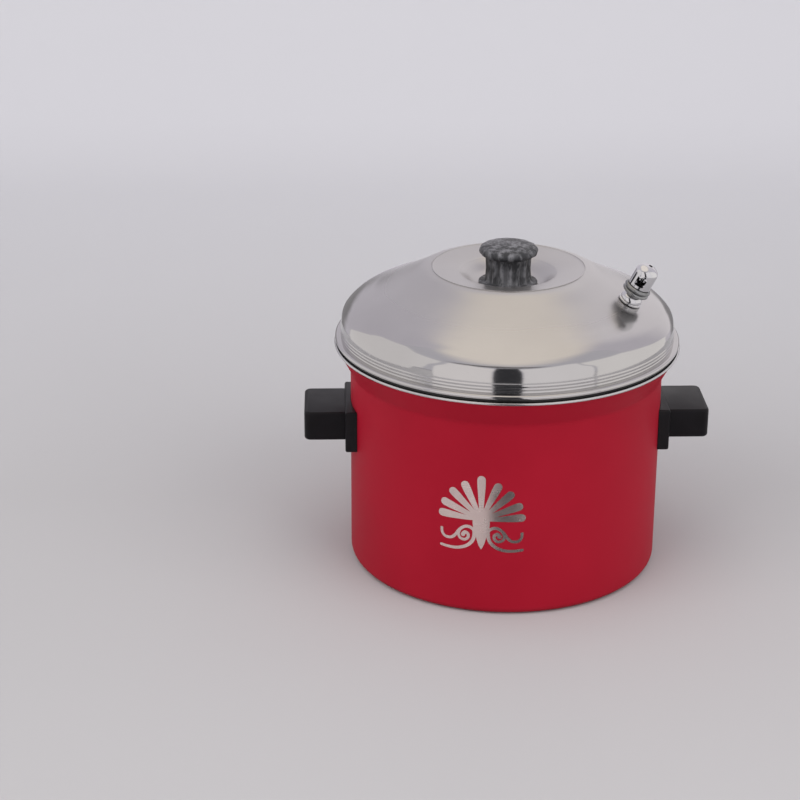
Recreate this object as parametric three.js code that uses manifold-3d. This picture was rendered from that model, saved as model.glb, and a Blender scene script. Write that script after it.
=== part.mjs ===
// Idli steamer: a flared pot with two moulded side handles, a domed lid with a fluted knob
// and a steam whistle, and a lift-out stand that carries six idli plates on a central rod.
// Millimetres, Z up. The pot stands on Z = 0 with its axis on Z, and its handles lie along X.
import * as THREE from 'three';
import { mergeVertices } from 'three/addons/utils/BufferGeometryUtils.js';
import Module from 'manifold-3d';

const wasm = await Module();
wasm.setup();

// Clearances and facets
const seatGap = 0.3; // between pieces that rest on each other
const cutOverrun = 3; // how far a cutter runs past what it cuts
const shellSides = 32; // facets round the pot and the lid
const smallSides = 12; // facets round hubs, rods and screws

// Pot
const potRadius = 120;
const potHeight = 176;
const potWall = 1;
const potCornerRadius = 6;
const mouthReach = 12.4; // how far the rolled rim stands out beyond the wall
const mouthRadius = potRadius + mouthReach;
const rimBeadRadius = 1.1;
const flareAngle = THREE.MathUtils.degToRad(28); // of the mouth's cone, from upright
const flareFillet = 9;

// Side handles
const handleAngles = { right: 0, left: Math.PI };
const handlePlateWidth = 66; // along the wall
const handlePlateHeight = 33;
const handlePlateDrop = 47.5; // from the rim down to the plate's top
const handlePlateThickness = 4.6; // at the plate's middle
const handlePlateCorner = 4;
const gripWidth = 52;
const gripHeight = 23;
const gripRise = 7.5; // from the plate's underside to the grip's
const gripLength = 36; // from the wall to the grip's end
const gripCorner = 3.5;
const gripBevel = 2.5;
const bracketWidth = 22;
const bracketHeight = 18;
const bracketPlate = 1.5;
const bracketBossRadius = 4.5;
const bracketBossLength = 14; // beyond the bracket's plate
const handleScrewRadius = 2;
const handleScrewHeadRadius = 3.8;
const handleScrewHeadHeight = 2.4;
const handleScrewRecess = 5; // from the grip's end to the seat of the screw's head
const handleScrewGrip = 9; // how far the screw runs into the boss

// Lid
const lidSheet = 1;
const lidFlangeInset = 0.6; // of its edge inside the pot's rim
const lidFlangeWidth = 3.4; // from the skirt to the flange's edge
const lidFlangeLift = 1.6; // of the flange's underside above the rim
const lidFlangeHeight = 3.6;
const lidFlangeRadius = mouthRadius - lidFlangeInset;
const lidSkirtRadius = lidFlangeRadius - lidFlangeWidth;
const lidSkirtTop = 12.5; // above the rim
const lidRibStep = 0.5; // each bead line steps the skirt in by this
const lidRise = 58.5; // of the ridge above the rim
const lidRidgeRadius = 57.5;
const lidDishRadius = 37;
const lidDishDrop = 3.5; // from the ridge to the dish's edge
const lidDishDepth = 13; // from the ridge to the dish's floor
const lidDishFloorRadius = 26;
const lidCollarDepth = 4; // of the locating collar below the rim
const lidCollarWall = 1;
// The dome between ridge and skirt, as shares of the skirt's radius and of the lid's rise
const domeShares = [
  [0.51, 0.965],
  [0.6, 0.855],
  [0.78, 0.655],
  [0.88, 0.562],
  [0.95, 0.452],
  [0.982, 0.36],
];

// Knob
const knobHeight = 31;
const knobFlangeRadius = 22.4;
const knobFlangeHeight = 1.8;
const knobColumnRadius = 17.8;
const knobWaistRadius = 17;
const knobCapRadius = 22.4;
const knobCapHeight = 9;
const knobCrownShares = [0.7, 0.92]; // of the cap's radius and height, where its top turns flat
const knobFlutes = 16;
const knobFluteDepth = 1.3;
// How much of that depth the flutes have at the flange, the column, the cap's edge and its crown
const knobFluteShares = [0, 1, 0.8, 0.2];
const knobScrewRadius = 2.5;
const knobScrewGrip = 14; // how far the screw runs into the knob
const knobScrewHeadRadius = 4.6;
const knobScrewHeadHeight = 2.8;
const knobWasherRadius = 9;
const knobWasherHeight = 1.2;

// Steam vent and whistle, measured along the vent's own axis from the lid's outer face
const ventInset = 33.9; // from the skirt in to the vent
const ventAngle = THREE.MathUtils.degToRad(-20.6);
const ventStemRadius = 4;
const ventBoreRadius = 1.6;
const ventBossRadius = 9;
const ventBossHeight = 7.5;
const ventBossShares = [[1, 0.3], [0.86, 0.75]]; // of its radius and height, where its side turns in
const ventNeckRadius = 5;
const ventNeckHeight = 16.4; // top of the neck
const ventNeckChamfer = 1;
const ventTail = 9; // of the stem below the lid's outer face
const ventSag = 0.3; // how far the dome falls away under a flat washer
const gasketRadius = 7.5;
const gasketHeight = 1.5;
const ventNutRadius = 7;
const ventNutHeight = 4;
const collarRadius = 10.4;
const collarHeight = 6.5;
const collarGroove = 1.4;
const capRadius = 8.6;
const capWall = 1;
const capHeight = 18;
const capCrownHeight = 6.5; // of the cap's round top
const capCrownShares = [[1, 0], [0.9, 0.5], [0.6, 0.86]]; // of the cap's radius and its crown's height
const capWindowWidth = 7.5;
const capWindowHeight = 7.5;
const capWindowSill = 2.3; // of each window above the cap's lower edge
const pinHeadRadius = 3.2;
const pinHeadHeight = 3;
const pinRodRadius = 1.2;
const pinLength = 12.5;
const whistleSides = 16;

// Idli plates
const plateCount = 6;
const cupsPerPlate = 4;
const plateSheet = 1;
const firstPlate = 34; // height of the lowest plate's sheet
const plateHeadroom = 3; // from the top plate up to the rim
const platePitch = (potHeight - plateHeadroom - firstPlate) / (plateCount - 1);
const plateClearance = 13.4; // from the plates to the pot's wall
const plateMargin = 5.5; // of sheet outside each cup
const plateLip = 2.6; // height of the turned-down edge
const cupDepth = 13;
const cupSpacing = 5; // between neighbouring cups
const cupSpread = Math.sin(Math.PI / cupsPerPlate);
const plateReach = potRadius - potWall - plateClearance;
const cupRadius = (plateReach - plateMargin - cupSpacing / (2 * cupSpread)) / (1 + 1 / cupSpread);
const cupSides = 12;
const lobeSteps = 5;
const steamHoleRadius = 1.8;
const steamHoles = 3; // in each cup
const steamHoleSides = 5;
const steamHolePlaceShare = 0.42; // of the cup's radius
// The cup's bowl, as shares of its radius and its depth
const cupShares = [
  [1, 0],
  [0.83, 0.6],
  [0.5, 0.93],
  [0, 1],
];

// Stand
const rodRadius = 4;
const rodStud = 24; // of the rod above the top plate
const rodChamfer = 1;
const rodClearance = 0.5; // between the rod and what turns on it
const spacerWall = 2.2;
const footHubRadius = 15;
const footSheet = 2;
const footClearance = 35; // from the legs' ends to the pot's wall
const footReach = potRadius - potWall - footClearance;
const footPad = 12; // length of each leg's flat end
const footRise = 13.5; // from the pad to the hub
const footLegs = 4;
const footLegWidth = 14;
const rivetRadius = 8;
const rivetHeight = 2;
const rivetShares = [[0.75, 1], [1, 0.5]]; // of the rivet's radius and height, round its head
const washerRadius = 9;
const washerHeight = 1.5;
const wingNutRadius = 8;
const wingNutHeight = 8;
const wingNutTopRadius = 6.4;
const wingSpan = 22; // from the axis to each wing's tip
const wingHeight = 14;
const wingThickness = 2.5;
const wingRootShare = 0.25; // of the nut's height, where a wing leaves its side
// Shares of the nut's height, of the wing's size and of the nut's radius
const wingShares = { shoulder: 0.5, tip: 0.75, heel: 0.6 };

// Finishes
const paint = { color: 0xa01e30, roughness: 0.25, metalness: 0.1 };
const polishedSteel = { color: 0xc4c0bc, roughness: 0.16, metalness: 1 };
const brightSteel = { color: 0xb8b8ba, roughness: 0.28, metalness: 1 };
const chrome = { color: 0xd0d2d4, roughness: 0.08, metalness: 1 };
const bakelite = { color: 0x1e1c1e, roughness: 0.35, metalness: 0 };
const speckledBakelite = { color: 0x3a3a3c, roughness: 0.45, metalness: 0 };
const silicone = { color: 0x8c8c88, roughness: 0.7, metalness: 0 };

// A closed solid from a geometry: corners that coincide become one, and slivers go
function solid(geometry) {
  const bare = geometry.index ? geometry.toNonIndexed() : geometry.clone();
  for (const name of Object.keys(bare.attributes)) {
    if (name !== 'position') bare.deleteAttribute(name);
  }
  const merged = mergeVertices(bare);
  const corners = merged.index.array;
  const kept = [];
  for (let i = 0; i < corners.length; i += 3) {
    const [a, b, c] = [corners[i], corners[i + 1], corners[i + 2]];
    if (a !== b && b !== c && c !== a) kept.push(a, b, c);
  }
  return new wasm.Manifold(new wasm.Mesh({
    numProp: 3,
    vertProperties: new Float32Array(merged.attributes.position.array),
    triVerts: new Uint32Array(kept),
  }));
}

function piece(name, shape, finish) {
  const mesh = shape.getMesh();
  const geometry = new THREE.BufferGeometry();
  geometry.setAttribute('position', new THREE.BufferAttribute(new Float32Array(mesh.vertProperties), 3));
  geometry.setIndex(new THREE.BufferAttribute(new Uint32Array(mesh.triVerts), 1));
  geometry.computeVertexNormals();
  const made = new THREE.Mesh(geometry, new THREE.MeshStandardMaterial(finish));
  made.name = name;
  return made;
}

// A solid of revolution about Z from a closed outline of [radius, height] points
function revolve(outline, sides) {
  let area = 0;
  outline.forEach(([r, z], i) => {
    const [nextR, nextZ] = outline[(i + 1) % outline.length];
    area += r * nextZ - nextR * z;
  });
  const ordered = area > 0 ? [...outline] : [...outline].reverse();
  const points = [...ordered, ordered[0]].map(([r, z]) => new THREE.Vector2(r, z));
  return solid(new THREE.LatheGeometry(points, sides).rotateX(Math.PI / 2));
}

function cylinder(radius, bottom, top, sides) {
  return revolve([[0, bottom], [radius, bottom], [radius, top], [0, top]], sides);
}

function tube(outer, inner, bottom, top, sides) {
  return revolve([[inner, bottom], [outer, bottom], [outer, top], [inner, top]], sides);
}

// A flat outline in X and Y, raised from one height to another
function raise(shape, bottom, top) {
  const geometry = new THREE.ExtrudeGeometry(shape, { depth: top - bottom, bevelEnabled: false, curveSegments: 4 });
  return solid(geometry.translate(0, 0, bottom));
}

// A line of [radius, height] points moved sideways: a positive distance moves it to its left
function offset(line, distance) {
  return line.map((point, i) => {
    const before = line[Math.max(i - 1, 0)];
    const after = line[Math.min(i + 1, line.length - 1)];
    const normals = [[before, point], [point, after]]
      .map(([a, b]) => new THREE.Vector2(a[1] - b[1], b[0] - a[0]))
      .filter((normal) => normal.length() > 0)
      .map((normal) => normal.normalize());
    const middle = normals[0].clone().add(normals[normals.length - 1]).normalize();
    const reach = distance / middle.dot(normals[0]);
    return [point[0] + middle.x * reach, point[1] + middle.y * reach];
  });
}

function arc(centre, radius, start, end, steps) {
  const points = [];
  for (let i = 0; i <= steps; i += 1) {
    const angle = start + (end - start) * i / steps;
    points.push([centre[0] + radius * Math.cos(angle), centre[1] + radius * Math.sin(angle)]);
  }
  return points;
}

// A rectangle with round corners, centred on X, standing on a given Y
function roundedRectangle(width, bottom, height, corner) {
  const shape = new THREE.Shape();
  const half = width / 2;
  const top = bottom + height;
  shape.moveTo(-half + corner, bottom);
  shape.lineTo(half - corner, bottom);
  shape.quadraticCurveTo(half, bottom, half, bottom + corner);
  shape.lineTo(half, top - corner);
  shape.quadraticCurveTo(half, top, half - corner, top);
  shape.lineTo(-half + corner, top);
  shape.quadraticCurveTo(-half, top, -half, top - corner);
  shape.lineTo(-half, bottom + corner);
  shape.quadraticCurveTo(-half, bottom, -half + corner, bottom);
  return shape;
}

// Turns a solid built along +Z so that it runs along +X, its Y kept upright as Z
function alongX(geometry) {
  return geometry.rotateX(Math.PI / 2).rotateZ(Math.PI / 2);
}

// Pot: one drawn sheet, with a round bottom corner, a conical mouth and a rolled rim
function potShell() {
  const along = [Math.sin(flareAngle), Math.cos(flareAngle)];
  const outward = [along[1], -along[0]];
  const bead = [mouthRadius - rimBeadRadius, potHeight - rimBeadRadius];
  const inset = rimBeadRadius - potWall;
  const back = Math.sqrt(rimBeadRadius ** 2 - inset ** 2);
  const meet = [
    bead[0] - outward[0] * inset - along[0] * back,
    bead[1] - outward[1] * inset - along[1] * back,
  ];
  const flareStart = meet[1] - (meet[0] - potRadius) / Math.tan(flareAngle);
  const tangent = flareFillet * Math.tan(flareAngle / 2);
  const outer = [
    [0, 0],
    ...arc([potRadius - potCornerRadius, potCornerRadius], potCornerRadius, -Math.PI / 2, 0, 4),
    ...arc([potRadius + flareFillet, flareStart - tangent], flareFillet, Math.PI, Math.PI - flareAngle, 2),
    meet,
  ];
  const beadStart = Math.atan2(meet[1] - bead[1], meet[0] - bead[0]);
  const beadEnd = Math.PI - flareAngle;
  const rim = arc(bead, rimBeadRadius, beadStart, beadEnd, 6).slice(1);
  const inner = offset(outer, potWall).slice(0, -1).reverse();
  return revolve([...outer, ...rim, ...inner], shellSides);
}

// Handle, built on the +X side of the pot
const handlePlateBottom = potHeight - handlePlateDrop - handlePlateHeight;
const gripBottom = handlePlateBottom + gripRise;
const gripMiddle = gripBottom + gripHeight / 2;
const gripReach = potRadius + gripLength;
const blockStart = potRadius / 2; // the handle's blocks start inside the pot and are cut back to its wall
const bossEnd = potRadius + seatGap + bracketPlate + bracketBossLength;
const headSeat = gripReach - handleScrewRecess;

function wallCutter(radius) {
  return cylinder(radius, -cutOverrun, potHeight, shellSides);
}

function rodAlongX(radius, start, end, sides) {
  const geometry = new THREE.CylinderGeometry(radius, radius, end - start, sides);
  geometry.rotateZ(Math.PI / 2).translate((start + end) / 2, 0, gripMiddle);
  return solid(geometry);
}

function handle() {
  const plateShape = roundedRectangle(handlePlateWidth, handlePlateBottom, handlePlateHeight, handlePlateCorner);
  const plateDepth = potRadius + handlePlateThickness - blockStart;
  const plateBlock = new THREE.ExtrudeGeometry(plateShape, {
    depth: plateDepth,
    bevelEnabled: false,
    curveSegments: 3,
  });
  const plate = solid(alongX(plateBlock).translate(blockStart, 0, 0));
  const gripShape = roundedRectangle(
    gripWidth - 2 * gripBevel,
    gripBottom + gripBevel,
    gripHeight - 2 * gripBevel,
    gripCorner,
  );
  const gripBlock = new THREE.ExtrudeGeometry(gripShape, {
    depth: gripLength - 2 * gripBevel,
    bevelSize: gripBevel,
    bevelThickness: gripBevel,
    bevelSegments: 2,
    curveSegments: 2,
  });
  const grip = solid(alongX(gripBlock).translate(potRadius + gripBevel, 0, 0));
  const pocket = new THREE.BoxGeometry(
    bracketPlate + 2 * seatGap + cutOverrun,
    bracketWidth + 2 * seatGap,
    bracketHeight + 2 * seatGap,
  );
  const pocketDeep = potRadius + bracketPlate + 2 * seatGap;
  pocket.translate(pocketDeep - (bracketPlate + 2 * seatGap + cutOverrun) / 2, 0, gripMiddle);
  const bossBore = rodAlongX(bracketBossRadius + seatGap, potRadius, bossEnd + seatGap, smallSides);
  const screwBore = rodAlongX(handleScrewRadius + seatGap, potRadius, gripReach, smallSides);
  const headBore = rodAlongX(handleScrewHeadRadius + 2 * seatGap, headSeat, gripReach + cutOverrun, smallSides);
  return plate
    .add(grip)
    .subtract(wallCutter(potRadius + seatGap))
    .subtract(solid(pocket))
    .subtract(bossBore)
    .subtract(screwBore)
    .subtract(headBore);
}

function handleBracket() {
  const outer = potRadius + seatGap + bracketPlate;
  const pad = new THREE.BoxGeometry(outer - blockStart, bracketWidth, bracketHeight);
  pad.translate((outer + blockStart) / 2, 0, gripMiddle);
  const boss = rodAlongX(bracketBossRadius, potRadius + seatGap, bossEnd, smallSides);
  const bore = rodAlongX(
    handleScrewRadius + seatGap,
    bossEnd - handleScrewGrip - seatGap,
    bossEnd + cutOverrun,
    smallSides,
  );
  return solid(pad).add(boss).subtract(wallCutter(potRadius + seatGap)).subtract(bore);
}

function handleScrew() {
  const shank = rodAlongX(handleScrewRadius, bossEnd - handleScrewGrip, headSeat + cutOverrun / 2, smallSides);
  const head = rodAlongX(
    handleScrewHeadRadius,
    headSeat + seatGap,
    headSeat + seatGap + handleScrewHeadHeight,
    smallSides,
  );
  return shank.add(head);
}

// Lid, built with the pot's rim at height zero
const dishFloor = lidRise - lidDishDepth;
const ventPlace = lidSkirtRadius - ventInset;
const dome = [
  [0, dishFloor],
  [lidDishFloorRadius, dishFloor],
  [lidDishRadius, lidRise - lidDishDrop],
  [lidRidgeRadius, lidRise],
  ...domeShares.map(([radiusShare, heightShare]) => [lidSkirtRadius * radiusShare, lidRise * heightShare]),
];

function lidShell() {
  const flangeTop = lidFlangeLift + lidFlangeHeight;
  const ribMiddle = (lidSkirtTop + flangeTop) / 2;
  const ribs = [
    [lidSkirtRadius - 2 * lidRibStep, lidSkirtTop],
    [lidSkirtRadius - 2 * lidRibStep, ribMiddle + lidRibStep],
    [lidSkirtRadius - lidRibStep, ribMiddle],
    [lidSkirtRadius - lidRibStep, flangeTop + 2 * lidRibStep],
    [lidSkirtRadius, flangeTop + lidRibStep],
  ];
  const beadMiddle = mouthRadius - rimBeadRadius;
  const mouth = beadMiddle - rimBeadRadius - seatGap;
  const seatReach = beadMiddle - rimBeadRadius / 2;
  const narrowed = mouth - lidCollarDepth * Math.tan(flareAngle);
  const flange = [
    [lidFlangeRadius - lidRibStep, flangeTop],
    [lidFlangeRadius, lidFlangeLift + lidFlangeHeight / 2],
    [lidFlangeRadius - lidRibStep, lidFlangeLift],
    [seatReach, lidFlangeLift],
    [seatReach, seatGap],
    [mouth, seatGap],
    [narrowed, -lidCollarDepth],
    [narrowed - lidCollarWall, -lidCollarDepth],
    [mouth - lidCollarWall, seatGap],
    [lidSkirtRadius - 2 * lidRibStep - lidSheet, lidFlangeLift],
  ];
  const under = offset([...dome, ribs[0]], -lidSheet).reverse();
  const shell = revolve([...dome, ...ribs, ...flange, ...under], shellSides);
  const knobHole = cylinder(knobScrewRadius + seatGap, dishFloor - cutOverrun, dishFloor + cutOverrun, smallSides);
  const ventHole = new THREE.CylinderGeometry(
    ventStemRadius + seatGap,
    ventStemRadius + seatGap,
    2 * ventTail,
    smallSides,
  );
  ventHole.rotateX(Math.PI / 2).rotateY(vent.tilt).translate(ventPlace, 0, vent.height).rotateZ(ventAngle);
  return shell.subtract(knobHole).subtract(solid(ventHole));
}

// Where the vent's axis leaves the dome, and how far it leans from upright
function ventSeat() {
  const next = dome.findIndex(([radius]) => radius > ventPlace);
  const [lower, upper] = [dome[next - 1], dome[next]];
  const share = (ventPlace - lower[0]) / (upper[0] - lower[0]);
  return {
    height: lower[1] + (upper[1] - lower[1]) * share,
    tilt: Math.atan2(lower[1] - upper[1], upper[0] - lower[0]),
  };
}
const vent = ventSeat();

// Knob: a waisted column with round-bottomed flutes between a thin flange and a domed cap
function knob() {
  const columnTop = knobHeight - knobCapHeight;
  const [flangeShare, columnShare, edgeShare, crownShare] = knobFluteShares;
  const rings = [
    [knobFlangeRadius, 0, flangeShare],
    [knobFlangeRadius, knobFlangeHeight / 2, flangeShare],
    [knobColumnRadius, knobFlangeHeight, columnShare],
    [knobWaistRadius, (columnTop + knobFlangeHeight) / 2, columnShare],
    [knobColumnRadius, columnTop, columnShare],
    [knobCapRadius, columnTop + knobCapHeight / 4, edgeShare],
    [knobCapRadius, columnTop + knobCapHeight / 2, edgeShare],
    [knobCapRadius * knobCrownShares[0], columnTop + knobCapHeight * knobCrownShares[1], crownShare],
  ];
  const across = 2 * knobFlutes;
  const points = [];
  for (const [radius, height, depthShare] of rings) {
    for (let i = 0; i < across; i += 1) {
      const angle = 2 * Math.PI * i / across;
      const reach = radius - (i % 2) * knobFluteDepth * depthShare;
      points.push(reach * Math.cos(angle), reach * Math.sin(angle), height);
    }
  }
  const bottomCentre = rings.length * across;
  points.push(0, 0, 0, 0, 0, knobHeight);
  const faces = [];
  const last = (rings.length - 1) * across;
  for (let i = 0; i < across; i += 1) {
    const next = (i + 1) % across;
    faces.push(bottomCentre, next, i);
    faces.push(bottomCentre + 1, last + i, last + next);
    for (let ring = 0; ring < last; ring += across) {
      faces.push(ring + i, ring + next, ring + across + next);
      faces.push(ring + i, ring + across + next, ring + across + i);
    }
  }
  const geometry = new THREE.BufferGeometry();
  geometry.setAttribute('position', new THREE.Float32BufferAttribute(points, 3));
  geometry.setIndex(faces);
  const bore = cylinder(knobScrewRadius + seatGap, -cutOverrun, knobScrewGrip + seatGap, smallSides);
  return solid(geometry).subtract(bore);
}

// The knob's screw and washer, measured from the underside of the dish's floor
function knobWasher() {
  return tube(knobWasherRadius, knobScrewRadius + seatGap, -seatGap - knobWasherHeight, -seatGap, smallSides);
}

function knobScrew() {
  const headTop = -2 * seatGap - knobWasherHeight;
  const head = cylinder(knobScrewHeadRadius, headTop - knobScrewHeadHeight, headTop, smallSides);
  const shank = cylinder(knobScrewRadius, headTop, lidSheet + seatGap + knobScrewGrip, smallSides);
  return head.add(shank);
}

// Vent: a turned boss and threaded stem, with a gasket and a nut under the lid
const gasketTop = -lidSheet - seatGap - ventSag;
const nutTop = gasketTop - gasketHeight - seatGap;
const collarBottom = ventBossHeight + 3 * seatGap;
const collarTop = collarBottom + collarHeight;

function ventStem() {
  const boss = ventBossShares.map(([across, up]) => [ventBossRadius * across, ventBossHeight * up]);
  return revolve([
    [ventBoreRadius, -ventTail],
    [ventStemRadius, -ventTail],
    [ventStemRadius, seatGap],
    [ventBossRadius, seatGap],
    ...boss,
    [ventNeckRadius + ventNeckChamfer, ventBossHeight],
    [ventNeckRadius, ventBossHeight],
    [ventNeckRadius, ventNeckHeight - ventNeckChamfer],
    [ventNeckRadius - ventNeckChamfer, ventNeckHeight],
    [ventBoreRadius, ventNeckHeight],
  ], smallSides);
}

function ventGasket() {
  return tube(gasketRadius, ventStemRadius + seatGap, gasketTop - gasketHeight, gasketTop, smallSides);
}

function ventNut() {
  const hexagon = cylinder(ventNutRadius, nutTop - ventNutHeight, nutTop, 6);
  const bore = cylinder(ventStemRadius + seatGap, nutTop - ventNutHeight - cutOverrun, cutOverrun, smallSides);
  return hexagon.subtract(bore);
}

function whistleCollar() {
  const middle = (collarBottom + collarTop) / 2;
  const bore = ventNeckRadius + seatGap;
  return revolve([
    [bore, collarBottom],
    [collarRadius - collarGroove, collarBottom],
    [collarRadius, collarBottom + collarGroove],
    [collarRadius - collarGroove, middle],
    [collarRadius, collarTop - collarGroove],
    [collarRadius - collarGroove, collarTop],
    [bore, collarTop],
  ], whistleSides);
}

// Whistle cap: a round-topped tube with a steam window on each side and a guide hole for the pin
function whistleCap() {
  const bottom = collarTop + seatGap;
  const roundTop = bottom + capHeight;
  const roundStart = roundTop - capCrownHeight;
  const crown = (radius, height) => capCrownShares
    .map(([radiusShare, heightShare]) => [radius * radiusShare, roundStart + height * heightShare]);
  const guide = pinRodRadius + seatGap;
  const shell = revolve([
    [capRadius, bottom],
    ...crown(capRadius, capCrownHeight),
    [guide, roundTop],
    [guide, roundTop - capWall],
    ...crown(capRadius - capWall, capCrownHeight - capWall).reverse(),
    [capRadius - capWall, bottom],
  ], whistleSides);
  const window = new THREE.BoxGeometry(capWindowWidth, 2 * capRadius + cutOverrun, capWindowHeight);
  window.translate(0, 0, bottom + capWindowSill + capWindowHeight / 2);
  return shell.subtract(solid(window));
}

function ventPin() {
  const bottom = ventNeckHeight + seatGap;
  return revolve([
    [0, bottom],
    [pinHeadRadius, bottom],
    [pinHeadRadius, bottom + pinHeadHeight],
    [pinRodRadius, bottom + pinHeadHeight],
    [pinRodRadius, bottom + pinLength],
    [0, bottom + pinLength],
  ], smallSides);
}

// Idli plate: a four-lobed sheet with a turned-down edge, a bowl pressed into each lobe,
// steam holes through the bowls and a hub hole for the rod. Its sheet's top lies at height zero.
const cupPlace = (2 * cupRadius + cupSpacing) / (2 * cupSpread);

function lobedOutline(margin) {
  const radius = cupRadius + margin;
  const step = 2 * Math.PI / cupsPerPlate;
  const notch = cupPlace * Math.sin(step / 2);
  const sweep = Math.PI / 2 + step / 2 - Math.acos(Math.min(notch / radius, 1));
  const points = [];
  for (let lobe = 0; lobe < cupsPerPlate; lobe += 1) {
    const middle = lobe * step;
    for (let i = 0; i <= lobeSteps; i += 1) {
      const angle = middle - sweep + 2 * sweep * i / lobeSteps;
      points.push(new THREE.Vector2(
        cupPlace * Math.cos(middle) + radius * Math.cos(angle),
        cupPlace * Math.sin(middle) + radius * Math.sin(angle),
      ));
    }
  }
  return new THREE.Shape(points);
}

function idliPlate() {
  const inner = cupShares.map(([radiusShare, depthShare]) => [cupRadius * radiusShare, -cupDepth * depthShare]);
  const outer = offset(inner, plateSheet);
  outer[0] = [cupRadius + plateSheet, -plateSheet / 2];
  outer[outer.length - 1] = [0, -cupDepth - plateSheet];
  const bowl = revolve([...outer, [0, -plateSheet / 2]], cupSides);
  const hollow = revolve([...inner, [0, cutOverrun], [cupRadius, cutOverrun]], cupSides);
  let plate = raise(lobedOutline(plateMargin), -plateSheet, 0);
  const skirt = raise(lobedOutline(plateMargin), -plateLip, -plateSheet / 2);
  plate = plate.add(skirt.subtract(raise(lobedOutline(plateMargin - plateSheet), -plateLip - cutOverrun, 0)));
  for (let cup = 0; cup < cupsPerPlate; cup += 1) {
    const angle = 2 * Math.PI * cup / cupsPerPlate;
    plate = plate.add(moved(bowl, cupPlace, 0, angle));
  }
  for (let cup = 0; cup < cupsPerPlate; cup += 1) {
    const angle = 2 * Math.PI * cup / cupsPerPlate;
    plate = plate.subtract(moved(hollow, cupPlace, 0, angle));
    for (let hole = 0; hole < steamHoles; hole += 1) {
      const turn = 2 * Math.PI * hole / steamHoles + Math.PI / cupSides;
      const place = cupRadius * steamHolePlaceShare;
      const drill = cylinder(steamHoleRadius, -cupDepth - cutOverrun, -plateSheet, steamHoleSides);
      plate = plate.subtract(moved(drill, cupPlace + place * Math.cos(turn), place * Math.sin(turn), angle));
    }
  }
  return plate.subtract(cylinder(rodRadius + rodClearance, -cutOverrun, cutOverrun, smallSides));
}

// A solid moved in X and Y and then turned about the Z axis
function moved(shape, x, y, angle) {
  const made = piece('', shape, {});
  made.geometry.translate(x, y, 0).rotateZ(angle);
  return solid(made.geometry);
}

// Stand: a four-legged foot, a rod riveted through its hub, and spacer tubes between the plates
const footHubTop = potWall + seatGap + footRise + footSheet;
const lastPlate = firstPlate + (plateCount - 1) * platePitch;
const rodTop = lastPlate + rodStud;

function standFoot() {
  const floor = potWall + seatGap;
  const knee = footReach - footPad;
  const side = new THREE.Shape([
    [0, footHubTop - footSheet],
    [footHubRadius, footHubTop - footSheet],
    [knee, floor],
    [footReach, floor],
    [footReach, floor + footSheet],
    [knee, floor + footSheet],
    [footHubRadius, footHubTop],
    [0, footHubTop],
  ].map(([x, y]) => new THREE.Vector2(x, y)));
  let foot = cylinder(footHubRadius, footHubTop - footSheet, footHubTop, smallSides);
  for (let leg = 0; leg < footLegs; leg += 1) {
    const geometry = new THREE.ExtrudeGeometry(side, { depth: footLegWidth, bevelEnabled: false });
    geometry.translate(0, 0, -footLegWidth / 2).rotateX(Math.PI / 2).rotateZ(2 * Math.PI * leg / footLegs);
    foot = foot.add(solid(geometry));
  }
  return foot.subtract(cylinder(rodRadius + seatGap, 0, footHubTop + cutOverrun, smallSides));
}

function standRod() {
  const rivetTop = footHubTop - footSheet - seatGap;
  const rivet = rivetShares.map(([across, down]) => [rivetRadius * across, rivetTop - rivetHeight * down]);
  return revolve([
    [0, rivetTop - rivetHeight],
    ...rivet,
    [rivetRadius, rivetTop],
    [rodRadius, rivetTop],
    [rodRadius, rodTop - rodChamfer],
    [rodRadius - rodChamfer, rodTop],
    [0, rodTop],
  ], smallSides);
}

function spacer(bottom, top) {
  const inner = rodRadius + seatGap;
  return tube(inner + spacerWall, inner, bottom + seatGap, top - seatGap, smallSides);
}

const nutBottom = lastPlate + 2 * seatGap + washerHeight + seatGap;

function topWasher() {
  const bottom = lastPlate + seatGap;
  return tube(washerRadius, rodRadius + seatGap, bottom, bottom + washerHeight, smallSides);
}

// Wing nut: a coned body with two upswept wings
function wingNut() {
  const bore = rodRadius + rodClearance;
  const top = nutBottom + wingNutHeight;
  const root = nutBottom + wingNutHeight * wingRootShare;
  const body = cylinder(wingNutRadius, nutBottom, nutBottom + wingNutHeight / 2, smallSides).add(revolve([
    [0, root],
    [wingNutRadius, nutBottom + wingNutHeight / 2],
    [wingNutTopRadius, top],
    [0, top],
  ], smallSides));
  const wing = new THREE.Shape();
  const shoulder = nutBottom + wingNutHeight * wingShares.shoulder;
  const wingTop = nutBottom + wingHeight;
  wing.moveTo(0, root);
  wing.lineTo(wingNutRadius, root);
  wing.quadraticCurveTo(wingSpan, shoulder, wingSpan, nutBottom + wingHeight * wingShares.tip);
  wing.quadraticCurveTo(wingSpan, wingTop, wingSpan * wingShares.tip, wingTop);
  wing.lineTo(wingNutRadius * wingShares.heel, top);
  wing.lineTo(0, top);
  let nut = body;
  for (const turn of [0, Math.PI]) {
    const geometry = new THREE.ExtrudeGeometry(wing, { depth: wingThickness, bevelEnabled: false, curveSegments: 4 });
    geometry.translate(0, 0, -wingThickness / 2).rotateX(Math.PI / 2).rotateZ(turn);
    nut = nut.add(solid(geometry));
  }
  return nut.subtract(cylinder(bore, nutBottom - cutOverrun, top + wingHeight, smallSides));
}

const steamer = new THREE.Group();

const potGroup = new THREE.Group();
potGroup.add(piece('pot_shell', potShell(), paint));
for (const [side, angle] of Object.entries(handleAngles)) {
  const fitted = new THREE.Group();
  fitted.rotation.z = angle;
  fitted.add(piece(`${side}_handle`, handle(), bakelite));
  fitted.add(piece(`${side}_handle_bracket`, handleBracket(), brightSteel));
  fitted.add(piece(`${side}_handle_screw`, handleScrew(), brightSteel));
  potGroup.add(fitted);
}
steamer.add(potGroup);

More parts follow.
